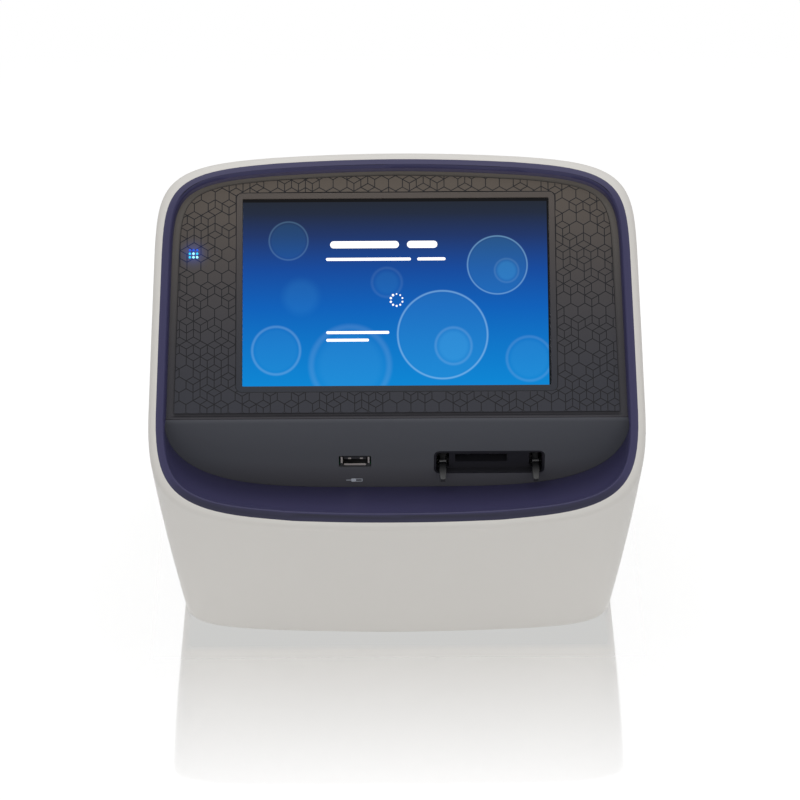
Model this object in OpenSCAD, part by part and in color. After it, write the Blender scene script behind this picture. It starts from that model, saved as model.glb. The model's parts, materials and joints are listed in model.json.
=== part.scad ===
// Automated cell counter: a benchtop instrument with a leaning touch screen, a slide port
// in the panel below it, and the optics that read the slide inside the moulded housing.
// Frame: +X to the right of a person facing the screen, -Y to the front, +Z up.
// The origin is on the bench, under the middle of the bounding box.

/* [Face] */
// Lean of the screen face back from upright, degrees
face_lean = 50.8; // [48:0.2:53]
// Height above the bench of the lowest point of the mouth
rim_z = 92.8; // [90:0.5:96]
// Distance of that point in front of the origin
rim_front = 77.34; // [75:0.02:79]
// Width of the mouth where it is widest
mouth_w = 235.7; // [230:0.1:240]
// Length of the mouth along the leaning face
mouth_l = 181.9; // [178:0.1:185]
// Squareness of the upper corners of the mouth, the exponent of their superellipse
mouth_square = 8.2; // [7:0.1:9]
// Squareness of its lower corners
low_square = 6.5; // [5.5:0.1:7.5]
// Gain in that squareness for each millimetre inside the mouth, as parallel curves have
inner_square = 0.03; // [0.02:0.005:0.05]
// Loss of half width for each millimetre further up the face
mouth_taper = 0.0275; // [0:0.0005:0.04]
// Bow of the top and bottom edges of the mouth
mouth_bow = 7; // [5:0.1:8]

/* [Housing] */
// Width of the housing at the bench
base_w = 219.2; // [212:0.1:224]
// Depth of the housing at the bench
base_d = 137; // [134:0.1:140]
// Distance of the front of the base behind the lowest point of the mouth
chin_tuck = 15.9; // [12:0.1:20]
// Squareness of the plan of the base
base_square = 9.4; // [8:0.1:11]
// Bow of the front edge of the base
base_bow = 6; // [4:0.5:8]
// Bow of its back edge
back_bow = 4; // [2:0.5:5]
// Wall thickness of the moulded housing
wall = 2.6; // [2:0.1:3]
// Width of the rounded white rim outside the mouth
rim_w = 3.9; // [3.4:0.1:4.4]
// Height of the rounding of that rim
rim_r = 4; // [3:0.1:5]

/* [Trim and bezel] */
// Depth of the bezel face below the mouth
bezel_sink = 4; // [3.5:0.1:4.5]
// Thickness of the bezel moulding
bezel_t = 2.6; // [2.2:0.1:3]
// Width of the trim ring at the top and the sides
trim_w = 4.7; // [4.4:0.1:5]
// Width of the groove between the trim ring and the raised face of the bezel
groove_w = 1.1; // [0.8:0.1:1.4]
// Distance up the face from the lowest point of the mouth to the crease
crease_v = 52.3; // [50:0.1:54]
// Height of the port panel below the crease
port_drop = 44.9; // [43:0.1:46]
// Half width of the port panel
port_half = 114; // [113:0.1:115]

/* [Display] */
// Width of the opening for the screen, a 7 inch 16:10 display
screen_w = 151.6; // [149:0.1:153]
// Height of that opening
screen_h = 94.6; // [92:0.1:96]
// Middle of the screen, up the face
screen_v = 115.7; // [114:0.1:118]
// Width of the border that frames the screen
frame_w = 3; // [2.6:0.1:3.4]

/* [Ports] */
// Middle of the USB socket, to the side
usb_x = -20.9; // [-30:0.1:-15]
// Height of both ports above the bench
port_z = 93.6; // [92:0.1:95]
// Middle of the slide recess, to the side
recess_x = 45.6; // [42:0.1:48]
// Width of the slide recess
recess_w = 54.8; // [54:0.1:56]
// Height of the slide recess
recess_h = 14.7; // [14:0.1:15]
// Middle of the slot that takes a 25 mm slide
slot_x = 41.6; // [41:0.1:42]
// Width of the slot
slot_w = 25.8; // [25.6:0.1:26]

/* [Mechanism] */
// Travel of the slide carriage as the slide is pushed home
carriage_travel = 4; // [2:0.5:5]
// Travel of the focus either way from its middle
focus_travel = 2; // [1:0.5:3]
// Clearance round a rod in its bore
rod_gap = 0.3; // [0.2:0.05:0.4]

/* [Hidden] */

$fn = 48;

// Colours
white_shell = [0.80, 0.79, 0.77];
violet_trim = [0.20, 0.18, 0.28];
slate_bezel = [0.22, 0.22, 0.25];
pattern_grey = [0.26, 0.25, 0.24];
screen_blue = [0.10, 0.45, 0.80];
board_green = [0.10, 0.35, 0.20];
socket_silver = [0.75, 0.75, 0.77];
soft_black = [0.08, 0.08, 0.09];
clear_glass = [0.75, 0.85, 0.90, 0.5];
alloy = [0.62, 0.63, 0.65];

// Lofts: points round each ring, and the heights of the bottom of the shell
ring_points = 96;
foot_h = 2;
mouth_mid = mouth_l / 2;
wide_v = 45.7;
// The angle round the mouth at which the crease meets it, and the angles of every ring, which
// are even but for one more at each end of the crease
function crease_turn(grow) =
    asin(pow((mouth_mid - crease_v) / (mouth_l / 2 + grow - mouth_bow), corner_square(-1, grow) / 2));
crease_angle = -crease_turn(0);
ring_step = 360 / ring_points;
ring_angles = [
    for (k = [0 : ring_points - 1])
        let (q = k * ring_step)
        each [q, for (c = [180 - crease_angle, 360 + crease_angle]) if (c > q && c < q + ring_step) c]
];
base_mid_y = chin_tuck - rim_front + base_d / 2;
base_edge = 2;
skirt_h = 6;

// Places on the leaning face, from the lowest point of the mouth: across, up the face, outward
function lean(x, v, w) = [
    x,
    -rim_front + v * sin(face_lean) - w * cos(face_lean),
    rim_z + v * cos(face_lean) + w * sin(face_lean)
];

function soft_power(t, e) = sign(t) * pow(abs(t), e);

// Squareness of an outline parallel to the mouth's, above its middle (up > 0) or below it:
// outlines inside the mouth have tighter corners
function corner_square(up, grow) =
    (up > 0 ? mouth_square : low_square) * (1 + inner_square * max(0, -grow));

// A point of the mouth's outline at an angle, enlarged by grow_x to the side and grow_v up the face
function mouth2(q, grow_x, grow_v) =
    let (square_here = corner_square(sin(q), grow_x),
         across = soft_power(cos(q), 2 / square_here),
         up = soft_power(sin(q), 2 / square_here),
         v = mouth_mid + up * (mouth_l / 2 + grow_v - mouth_bow * across * across),
         half = mouth_w / 2 + grow_x - mouth_taper * max(0, v - wide_v))
    [across * half, v];

function mouth(q, grow) = mouth2(q, grow, grow);

// A point of the plan of the base at an angle, enlarged by grow
function base_plan(q, grow) =
    let (across = soft_power(cos(q), 2 / base_square),
         back = soft_power(sin(q), 2 / base_square),
         bow = (back > 0 ? back_bow : base_bow) * across * across)
    [across * (base_w / 2 + grow), base_mid_y + back * (base_d / 2 + grow - bow)];

// A ring of the loft on the leaning face, and one at a height
function face_ring(grow, w) = [for (q = ring_angles) let (p = mouth(q, grow)) lean(p[0], p[1], w)];
function base_ring(grow, z) = [for (q = ring_angles) let (p = base_plan(q, grow)) [p[0], p[1], z]];

// The housing's side between the rim (s = 0) and the skirt (s = 1): straight at the front,
// full at the sides, and swept over a shoulder at the back
side_full = 1.6;
shoulder_out = 12;
shoulder_up = 66;
function side_ring(s, inset, z_end) = [
    for (q = ring_angles)
        let (m = mouth(q, rim_w - inset),
             top = lean(m[0], m[1], -rim_r - inset / 3),
             b = base_plan(q, -inset),
             bottom = [b[0], b[1], z_end],
             back = sin(q) > 0 ? pow(sin(q), 2) : 0,
             across = soft_power(cos(q), 2 / mouth_square),
             middle = (top + bottom) / 2
                 + [side_full * across, (shoulder_out - inset / 2) * back, (shoulder_up - inset) * back])
        (1 - s) * (1 - s) * top + 2 * s * (1 - s) * middle + s * s * bottom
];

// A closed skin through rings that run round a loop of sections
module loft_loop(rings) {
    n = len(rings[0]);
    m = len(rings);
    polyhedron(
        points = [for (r = rings) each r],
        faces = [
            for (i = [0 : m - 1], j = [0 : n - 1])
                let (i2 = (i + 1) % m, j2 = (j + 1) % n,
                     a = i * n + j, b = i * n + j2, c = i2 * n + j2, d = i2 * n + j)
                each [[a, b, c], [a, c, d]]
        ]
    );
}

// Coordinates on the leaning face: x across, y up the face, z outward
module on_face(x = 0, v = 0, w = 0) {
    translate([0, -rim_front, rim_z])
        rotate([90 - face_lean, 0, 0])
            translate([x, v, w])
                children();
}

// The face of the port panel, and its top
crease = lean(0, crease_v, -bezel_sink);
panel_y = crease[1];
panel_top = crease[2];

// A point of the port panel's lower outline, at an angle from the crease (0) to the middle (90)
port_square_x = 4.1;
port_square_z = 2.4;
function port_outline(a, grow) = [
    (port_half + grow) * pow(cos(a), 2 / port_square_x),
    panel_top - (port_drop + grow) * pow(sin(a), 2 / port_square_z)
];

// Coordinates on the port panel: x across, y up, z outward to the front
module on_panel(x = 0, z = 0, out = 0) {
    translate([x, panel_y - out, z])
        rotate([90, 0, 0])
            children();
}

// The four fixing holes of a plate, inset from its corners
function corner_holes(xs, ys, inset) = [
    for (x = [xs[0] + inset, xs[1] - inset], y = [ys[0] + inset, ys[1] - inset]) [x, y]
];

// Plain shapes
module box(x0, x1, y0, y1, z0, z1) {
    translate([x0, y0, z0]) cube([x1 - x0, y1 - y0, z1 - z0]);
}

module rod(r, x, y, z0, z1) {
    translate([x, y, z0]) cylinder(r = r, h = z1 - z0);
}

module rod_y(r, x, z, y0, y1) {
    translate([x, y0, z]) rotate([-90, 0, 0]) cylinder(r = r, h = y1 - y0);
}

// A flat rectangle with round corners, middle at the origin
module round_rect(w, h, r) {
    square([w - 2 * r, h], center = true);
    square([w, h - 2 * r], center = true);
    for (i = [-1, 1], j = [-1, 1])
        translate([i * (w / 2 - r), j * (h / 2 - r)]) circle(r = r);
}

module slab(w, h, r, z0, z1) {
    translate([0, 0, z0]) linear_extrude(z1 - z0) round_rect(w, h, r);
}

// A pan-head screw, its head above z = 0 and its shank below
module screw(d, length) {
    difference() {
        union() {
            cylinder(d = 1.9 * d, h = 0.6 * d);
            translate([0, 0, -length]) cylinder(d = d, h = length);
        }
        translate([0, 0, 0.25 * d]) cylinder(d = d, h = d, $fn = 6);
    }
}

/* ---- Housing ---- */

side_steps = [0.05, 0.14, 0.24, 0.36, 0.48, 0.6, 0.72, 0.84, 0.93, 1];
inner_steps = [1, 0.84, 0.66, 0.48, 0.3, 0.15, 0.06];
rim_angles = [0, 22, 45, 67, 90];
window_half = 80;
window_low = 14;
window_high = 104;

// The moulded shell alone: rim, sides, skirt, and the inner skin back up to the lip
module housing_shell(skirt_top) {
    loft_loop([
        face_ring(0, -groove_floor),
        for (a = rim_angles) face_ring(rim_w * sin(a), -rim_r * (1 - cos(a))),
        for (s = side_steps) side_ring(s, 0, foot_h + base_edge),
        base_ring(-0.3 * base_edge, foot_h + 0.3 * base_edge),
        base_ring(-base_edge, foot_h),
        base_ring(-wall, foot_h),
        for (s = inner_steps) side_ring(s, wall, skirt_top),
        face_ring(rim_w - wall, -groove_floor - 1.2)
    ]);
}

module main_housing() {
    skirt_top = foot_h + skirt_h;
    color(white_shell)
        difference() {
            union() {
                housing_shell(skirt_top);
                for (side = [-1, 1], y = base_screw_y) {
                    rod(base_boss_r, side * base_screw_x, y, floor_top, floor_top + base_boss_h);
                    translate([side * (base_screw_x + base_boss_rib / 2), y, floor_top + base_boss_h / 2])
                        cube([base_boss_rib, 2 * base_boss_r, base_boss_h], center = true);
                }
            }
            box(-window_half, window_half, 60, 100, window_low, window_high);
            for (x = [-base_screw_x, base_screw_x], y = base_screw_y)
                rod(1.3, x, y, floor_top - 1, floor_top + 12);
        }
}

/* ---- Trim ring ---- */

bead_w = 4.4;
bead_lift = 1.1;
crest_w = 3.35;
crest_shift = 0.55;
edge_gap = 0.2;
step_t = 1.4;
groove_floor = bezel_sink + step_t;

// The angle at which an outline inside the mouth is taken, so that it too meets the crease
// where the mouth's own outline does
function matched_angle(q, grow) =
    let (share = crease_turn(grow) / -crease_angle)
    q > 180 && q < 270 ? 180 + (q - 180) * share
    : q >= 270 ? 360 - (360 - q) * share
    : q;

// The inner edge of the trim: on the bezel above the crease, on the port panel below it
function trim_inner(q, grow, lift) =
    let (below = q > 180 - crease_angle && q < 360 + crease_angle,
         right = q > 270,
         turn = right ? 360 + crease_angle - q : q - 180 + crease_angle,
         a = 90 * turn / (90 + crease_angle),
         p = port_outline(a, grow),
         m = mouth(matched_angle(q, -trim_w), grow - trim_w))
    below ? [(right ? 1 : -1) * p[0], panel_y - edge_gap, p[1]]
          : lean(m[0], m[1], lift);

// A ring part of the way from a to b: s along the wide ledge, and s_wall down the short wall
// that the ring has above the crease. The ledge dips between its ends.
function blend_ring(a, b, s, s_wall, dip) = [
    for (k = [0 : len(a) - 1])
        let (wide = min(1, max(0, (norm(b[k] - a[k]) - 8) / 12)),
             t = s_wall + (s - s_wall) * wide)
        a[k] + t * (b[k] - a[k]) - [0, 0, dip * wide * 4 * t * (1 - t)]
];

// A ring of the bead: s is the share of the way from the mouth's edge to the crest, which lies
// nearer that edge at the top of the face than at the bottom
function bead_ring(s, lift) = [
    for (q = ring_angles)
        let (m = mouth(q, -s * (crest_w - crest_shift * sin(q))))
        lean(m[0], m[1], lift)
];

module trim_ring() {
    bead_foot = face_ring(-bead_w, -0.6);
    inner = [for (q = ring_angles) trim_inner(q, 0, -groove_floor)];
    under = [for (q = ring_angles) trim_inner(q, 1.6, -groove_floor)];
    outer_low = face_ring(0, -groove_floor);
    color(violet_trim)
        loft_loop([
            outer_low,
            blend_ring(under, outer_low, 0.5, 0.5, 0),
            under,
            inner,
            blend_ring(bead_foot, inner, 0.72, 0.8, 1.2),
            blend_ring(bead_foot, inner, 0.45, 0.5, 1.2),
            blend_ring(bead_foot, inner, 0.2, 0.2, 1.2),
            bead_foot,
            bead_ring(1.12, 0.75 * bead_lift),
            bead_ring(1, bead_lift),
            bead_ring(0.88, 0.93 * bead_lift),
            bead_ring(0.45, 0.42 * bead_lift),
            face_ring(0, 0)
        ]);
}

/* ---- Bezel, overlay and status light ---- */

film_t = 0.4;
border_line = 0.6;
part_gap = 0.25;
frame_r = 2.8;
light_inset = 17.9;
light_x = light_inset - mouth_w / 2;
light_v = 135.3;
light_pitch = 1.8;
light_r = 0.6;
light_rows = [-1, 0, 1];
bracket_x = 86;
bracket_v = [63.5, 167.5];
boss_r = 3.2;
bezel_under = -bezel_sink - bezel_t;
bezel_lap = 1;
display_t = 4.4;

module upper_outline(grow_x, grow_v, from_v) {
    intersection() {
        polygon([for (q = ring_angles) mouth2(q, grow_x, grow_v)]);
        translate([-150, from_v]) square([300, 200]);
    }
}

module overlay_outline(gap) {
    upper_outline(-8 - gap, -6.7 - gap, crease_v + 2.2 + gap);
}

// The opening for the screen frame, larger by gap all round
module frame_opening(gap) {
    side = 2 * (frame_w + gap);
    on_face(0, screen_v) slab(screen_w + side, screen_h + side, frame_r + gap, -10, 0);
}

module light_holes(r, w0, w1) {
    for (i = light_rows, j = light_rows)
        on_face(light_x + i * light_pitch, light_v + j * light_pitch, w0)
            cylinder(r = r, h = w1 - w0, $fn = 20);
}

recess_r = 3;

module front_bezel() {
    outline = [for (a = [0 : 5 : 90]) port_outline(a, 2.2)];
    color(slate_bezel)
        difference() {
            union() {
                difference() {
                    on_face(0, 0, bezel_under)
                        linear_extrude(bezel_t - step_t)
                            upper_outline(-bezel_lap, -bezel_lap, crease_v - 1.2);
                    on_face(0, 0, -groove_floor)
                        linear_extrude(step_t)
                            upper_outline(-trim_w - groove_w, -trim_w - groove_w + 0.3, crease_v - 1.2);
                    on_face(0, 0, -bezel_sink - film_t) linear_extrude(2) overlay_outline(0);
                    frame_opening(part_gap);
                    box(-150, 150, -90, panel_y, 60, panel_top + 1);
                }
                difference() {
                    on_panel(0, 0, -bezel_t)
                        linear_extrude(bezel_t)
                            polygon([
                                for (p = outline) p,
                                for (k = [len(outline) - 1 : -1 : 0]) [-outline[k][0], outline[k][1]]
                            ]);
                    // the top corners make room for the ends of the trim ring's ledge
                    for (side = [-1, 1])
                        on_panel(side * (port_half + 2), panel_top) slab(5.6, 5.6, 1, -5, 1);
                    on_panel(usb_x, port_z + 0.8) slab(16, 7.6, 0.8, -5, 2);
                    on_panel(recess_x, port_z) slab(recess_w, recess_h, recess_r, -5, 2);
                }
                for (x = [-bracket_x, bracket_x], v = bracket_v)
                    on_face(x, v, bezel_under - display_t) cylinder(r = boss_r, h = display_t);
            }
            for (x = [-bracket_x, bracket_x], v = bracket_v)
                on_face(x, v, bezel_under - display_t - 1) cylinder(r = 1.25, h = display_t + 1);
            light_holes(light_r + 0.1, -10, 0);
        }
}

module pattern_overlay() {
    color(pattern_grey)
        difference() {
            on_face(0, 0, -bezel_sink - film_t) linear_extrude(film_t) overlay_outline(border_line);
            frame_opening(part_gap);
            light_holes(light_r + 0.1, -10, 0);
        }
}

module status_light_pipe() {
    side = 3 * light_pitch + 2;
    color([0.55, 0.85, 1])
        union() {
            on_face(light_x, light_v) slab(side, side, 0.8, bezel_under - 2, bezel_under);
            light_holes(light_r, bezel_under, -bezel_sink);
        }
}

module status_led_board() {
    color(board_green)
        on_face(light_x, light_v) slab(12, 18, 1, bezel_under - 3.2, bezel_under - 2);
}

/* ---- Display ---- */

glass_top = -bezel_sink - 0.9;
glass_t = 1;
glass_under = glass_top - glass_t;
glass_side = 0.3;
display_under = bezel_under - display_t;
plate_t = 1.2;
display_w = 161.4;
display_h = 103.2;

// The border that frames the screen, flush with the overlay
module screen_frame() {
    color(slate_bezel)
        on_face(0, screen_v)
            difference() {
                slab(screen_w + 2 * frame_w, screen_h + 2 * frame_w, frame_r, bezel_under, -bezel_sink);
                slab(screen_w, screen_h, 0.6, bezel_under - 1, 1);
            }
}

module touch_glass() {
    color(screen_blue)
        on_face(0, screen_v)
            slab(screen_w - glass_side, screen_h - glass_side, 0.5, glass_under, glass_top);
}

module display_gasket() {
    color(soft_black)
        on_face(0, screen_v)
            difference() {
                slab(screen_w - glass_side, screen_h - glass_side, 0.5, bezel_under, glass_under);
                slab(screen_w - 3, screen_h - 3, 0.4, bezel_under - 1, glass_under + 1);
            }
}

module display_panel() {
    color(alloy)
        on_face(0, screen_v) slab(display_w, display_h, 1, display_under, bezel_under);
}

module display_bracket() {
    color(alloy)
        difference() {
            union() {
                on_face(0, screen_v)
                    difference() {
                        slab(2 * bracket_x + 8, 112, 4, display_under - plate_t, display_under);
                        slab(100, 60, 6, display_under - 5, display_under + 1);
                    }
                for (x = [-60, 60], v = [-34, 34])
                    on_face(x, screen_v + v, display_under - plate_t - 6) cylinder(r = 2.5, h = 6);
            }
            for (x = [-bracket_x, bracket_x], v = bracket_v)
                on_face(x, v, display_under - 5) cylinder(r = 1.6, h = 10);
        }
}

driver_top = display_under - plate_t - 6;

module display_driver_board() {
    color(board_green)
        on_face(0, screen_v)
            union() {
                slab(128, 76, 2, driver_top - 1.6, driver_top);
                translate([-40, -20, driver_top]) cube([24, 8, 2.5]);
                translate([10, -8, driver_top]) cube([14, 14, 1.4]);
            }
}

ribbon_x = -40;
ribbon_w = 26;
ribbon_t = 0.5;
driver_low = lean(0, screen_v - 20, driver_top - 1.6);
ribbon_foot = [driver_low[1] - 6, 22];

// The flat cable drops from the back of the driver board to its connector on the main board
module display_ribbon() {
    top = lean(0, screen_v - 6, driver_top - 1.6);
    nose = lean(0, screen_v - 22, driver_top - 1.6);
    color(socket_silver)
        translate([ribbon_x + ribbon_w / 2, 0, 0])
            rotate([90, 0, -90])
                linear_extrude(ribbon_w)
                    polygon([
                        [-top[1], top[2]],
                        [-nose[1], nose[2]],
                        [-nose[1], nose[2] - 4],
                        [-ribbon_foot[0], ribbon_foot[1] + 10],
                        [-ribbon_foot[0], ribbon_foot[1]],
                        [-ribbon_foot[0] - ribbon_t, ribbon_foot[1]],
                        [-ribbon_foot[0] - ribbon_t, ribbon_foot[1] + 10],
                        [-nose[1] - ribbon_t, nose[2] - 4.2],
                        [-nose[1] - ribbon_t, nose[2] - ribbon_t * 2],
                        [-top[1], top[2] - ribbon_t * 1.6]
                    ]);
}

module bracket_screws() {
    color(alloy)
        for (x = [-bracket_x, bracket_x], v = bracket_v)
            on_face(x, v, display_under - plate_t) rotate([180, 0, 0]) screw(2.4, 4.5);
}

/* ---- Sockets of the port panel ---- */

usb_w = 13.2;
usb_h = 5.8;
usb_z = port_z + 0.8;
usb_wall = 0.4;
usb_depth = 14;
usb_lip_w = 14.8;
usb_lip_h = 6.8;

// A USB socket's folded shell: mouth at y = 0 facing -Y, body running back to +Y
module usb_shell() {
    difference() {
        union() {
            translate([-usb_w / 2, 0, -usb_h / 2]) cube([usb_w, usb_depth, usb_h]);
            translate([-usb_lip_w / 2, 0, -usb_h / 2]) cube([usb_lip_w, usb_wall, usb_h]);
            translate([-usb_w / 2 + 1, 0, -usb_lip_h / 2]) cube([usb_w - 2, usb_wall, usb_lip_h]);
        }
        translate([-usb_w / 2 + usb_wall, -1, -usb_h / 2 + usb_wall])
            cube([usb_w - 2 * usb_wall, usb_depth, usb_h - 2 * usb_wall]);
    }
}

module usb_tongue() {
    translate([-5.6, 1.2, 0.2]) cube([11.2, usb_depth - 2.2, 1.9]);
}

module usb_socket_shell() {
    color(socket_silver)
        translate([usb_x, panel_y + 0.6, usb_z]) usb_shell();
}

module usb_socket_tongue() {
    color([0.85, 0.86, 0.88])
        translate([usb_x, panel_y + 0.6, usb_z]) usb_tongue();
}

module usb_board() {
    z1 = usb_z - usb_h / 2;
    color(board_green)
        box(usb_x - 14, usb_x + 14, panel_y + bezel_t, panel_y + 26, z1 - 1.6, z1);
}

pocket_w = 6.2;
pocket_h = 11.6;
pocket_x = [recess_x - recess_w / 2 + 4.4, recess_x + recess_w / 2 - 4.4];
insert_gap = 0.2;
insert_floor = 3.4;
insert_back = 9;
slot_h = 5;

// The insert fills the recess: a shallow tray with a funnelled slot and two pockets for the arms
module slide_port_insert() {
    w = recess_w - 2 * insert_gap;
    h = recess_h - 2 * insert_gap;
    color(slate_bezel)
        difference() {
            union() {
                on_panel(recess_x, port_z) slab(w, h, recess_r - insert_gap, -insert_floor - 2, 0);
                on_panel(recess_x, port_z) slab(recess_w + 6, recess_h + 6, 3, -bezel_t - 2, -bezel_t);
                on_panel(slot_x, port_z) slab(slot_w + 4, slot_h + 4, 1, -insert_back, -insert_floor);
            }
            on_panel(recess_x, port_z) slab(w - 1.6, h - 1.6, recess_r - 1, -insert_floor, 1);
            on_panel(slot_x, port_z) slab(slot_w, slot_h, 0.6, -insert_back - 1, 1);
            for (x = pocket_x)
                on_panel(x, port_z) slab(pocket_w, pocket_h, 1, -insert_floor - 4, 0);
        }
}

/* ---- Slide carriage ---- */

tray_z = port_z - 4.4;
tray_t = 2.6;
tray_front = panel_y + 14;
tray_back = 32;
axis_x = slot_x;
axis_y = 4;
rod_r = 2;
rail_x = [pocket_x[0] + 1.5, pocket_x[1] - 1.5];
rail_z = tray_z - 4.6;
frame_z = rail_z - 8.4;
frame_t = 2.4;
frame_front = tray_front - 7.6;
frame_back = tray_back + carriage_travel + 6;
arm_reach = 8;
arm_z = port_z - 4.6;
arm_w = 3.4;
arm_root = 2.6;
arm_tip = 2.3;
spring_r = 3.3;
spring_wire = 0.5;
guide_w = 2.2;
guide_h = 3;

// A plain block between two corners, for blends
module block(x, w, y, z0, z1) {
    translate([x - w / 2, y - 0.5, z0]) cube([w, 1, z1 - z0]);
}

// One of the two arms: from a knuckle inside its pocket it runs forward, swells just outside
// the panel, and tapers to a blunt tip
module carriage_arm(x) {
    stem_y = panel_y + 3.5;
    swell_y = panel_y - 3;
    box(x - arm_root / 2, x + arm_root / 2, stem_y - 0.5, tray_front + 8, tray_z, arm_z + 3.2);
    hull() {
        block(x, arm_root, stem_y, arm_z, arm_z + 3.6);
        block(x, arm_w, swell_y, arm_z - 0.6, arm_z + 2.6);
    }
    hull() {
        block(x, arm_w, swell_y, arm_z - 0.6, arm_z + 2.6);
        block(x, arm_tip, panel_y - arm_reach + 0.5, arm_z - 1.2, arm_z + 0.5);
    }
    translate([x, stem_y - 0.6, arm_z + 3])
        rotate([0, 90, 0])
            cylinder(r = 1.1, h = arm_root + 0.6, center = true);
}

module slide_carriage() {
    half = slot_w / 2;
    color([0.30, 0.31, 0.35])
        difference() {
            union() {
                box(pocket_x[0] - 2.4, pocket_x[1] + 2.4, tray_front, tray_back, tray_z, tray_z + tray_t);
                for (side = [-1, 1])
                    box(axis_x + side * (half + guide_w / 2) - guide_w / 2,
                        axis_x + side * (half + guide_w / 2) + guide_w / 2,
                        tray_front, tray_back, tray_z + tray_t, tray_z + tray_t + guide_h);
                box(axis_x - half, axis_x + half, tray_back - 3, tray_back,
                    tray_z + tray_t, tray_z + tray_t + guide_h);
                for (x = rail_x, y = [tray_front, tray_back - 9])
                    box(x - 4, x + 4, y, y + 9, rail_z - 4, tray_z);
                for (x = pocket_x) carriage_arm(x);
            }
            for (x = rail_x)
                rod_y(rod_r + rod_gap, x, rail_z, tray_front - 1, tray_back + 1);
            rod(11, axis_x, axis_y, tray_z - 1, tray_z + tray_t + 1);
        }
}

module carriage_frame() {
    x0 = pocket_x[0] - 4;
    x1 = pocket_x[1] + 4;
    color(alloy)
        difference() {
            union() {
                box(x0, x1, frame_front, frame_back + frame_t, frame_z - frame_t, frame_z);
                for (y = [frame_front, frame_back])
                    box(x0, x1, y, y + frame_t, frame_z, rail_z + 3.4);
            }
            for (x = rail_x) rod_y(rod_r, x, rail_z, frame_front - 1, frame_back + 10);
            rod(13, axis_x, axis_y, frame_z - 10, frame_z + 1);
        }
}

module carriage_rods() {
    color(socket_silver)
        for (x = rail_x) rod_y(rod_r, x, rail_z, frame_front, frame_back + frame_t);
}

spring_turns = 4;
spring_steps = 12;
wire_sides = 6;

// A coil round the Y axis: rings of the wire's section along a helix
module coil(r, wire, length, turns) {
    rings = [
        for (k = [0 : turns * spring_steps])
            let (q = 360 * k / spring_steps, y = length * k / (turns * spring_steps))
            [for (s = [0 : wire_sides - 1])
                let (b = 360 * s / wire_sides)
                [(r + wire * cos(b)) * cos(q), y + wire * sin(b), (r + wire * cos(b)) * sin(q)]]
    ];
    n = wire_sides;
    m = len(rings);
    polyhedron(
        points = [for (ring = rings) each ring],
        faces = [
            for (i = [0 : m - 2], j = [0 : n - 1])
                let (a = i * n + j, b = i * n + (j + 1) % n, c = b + n, d = a + n)
                each [[a, c, b], [a, d, c]],
            [for (j = [0 : n - 1]) j],
            [for (j = [n - 1 : -1 : 0]) (m - 1) * n + j]
        ]
    );
}

module carriage_springs() {
    length = frame_back - tray_back - 2 * spring_wire;
    color(socket_silver)
        for (x = rail_x)
            translate([x, tray_back + spring_wire, rail_z])
                coil(spring_r, spring_wire, length, spring_turns);
}

/* ---- Lamp above the slide ---- */

lamp_low = port_z + 5.4;
lamp_high = lamp_low + 19;
lamp_arm_t = 2.4;
lamp_arm_half = 14;
lamp_y = frame_back + frame_t;

module lamp_bracket() {
    color(alloy)
        difference() {
            union() {
                box(axis_x - lamp_arm_half, axis_x + lamp_arm_half, lamp_y, lamp_y + lamp_arm_t,
                    frame_z - frame_t, lamp_high + lamp_arm_t);
                box(axis_x - lamp_arm_half, axis_x + lamp_arm_half, axis_y - 13, lamp_y,
                    lamp_high, lamp_high + lamp_arm_t);
            }
            for (x = [axis_x - 8, axis_x + 8]) rod_y(1.6, x, frame_z + 4, lamp_y - 1, lamp_y + 5);
        }
}

module lamp_housing() {
    color(soft_black)
        difference() {
            rod(11, axis_x, axis_y, lamp_low, lamp_high);
            rod(9, axis_x, axis_y, lamp_low + 3, lamp_high + 1);
            rod(8, axis_x, axis_y, lamp_low - 1, lamp_low + 4);
        }
}

module lamp_led_board() {
    color(board_green)
        union() {
            rod(9, axis_x, axis_y, lamp_high - 1.6, lamp_high);
            box(axis_x - 1.6, axis_x + 1.6, axis_y - 1.6, axis_y + 1.6, lamp_high - 2.6, lamp_high - 1.6);
        }
}

// A plano-convex lens: flat below, its cap rising by rise above a straight edge
module lens(r, edge, rise) {
    curve_r = (r * r + rise * rise) / (2 * rise);
    union() {
        cylinder(r = r, h = edge);
        intersection() {
            translate([0, 0, edge + rise - curve_r]) sphere(r = curve_r, $fn = 96);
            translate([0, 0, edge]) cylinder(r = r, h = rise + 1);
        }
    }
}

module condenser_lens() {
    color(clear_glass)
        translate([axis_x, axis_y, lamp_low + 0.4]) lens(8, 1.6, 2);
}

/* ---- Focus stage below the slide ---- */

base_top = 14;
post_r = 4;
focus_z = 58;
focus_h = 12;
objective_r = 9;
objective_top = frame_z + 3.6 - focus_travel / 2;
screw_y = 32;
focus_rod_dx = 13.6;
motor_half = 10;
motor_top = base_top + 25;
nut_r = 4.5;

module objective_barrel() {
    color(soft_black)
        difference() {
            union() {
                rod(objective_r, axis_x, axis_y, focus_z, objective_top);
                rod(objective_r + 2, axis_x, axis_y, focus_z + focus_h, focus_z + focus_h + 2);
            }
            rod(objective_r - 2, axis_x, axis_y, focus_z - 1, objective_top - 3);
            rod(objective_r - 4, axis_x, axis_y, focus_z, objective_top + 1);
        }
}

module objective_lens() {
    color(clear_glass)
        translate([axis_x, axis_y, objective_top - 3]) mirror([0, 0, 1]) lens(objective_r - 2, 1.2, 1.4);
}

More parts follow.
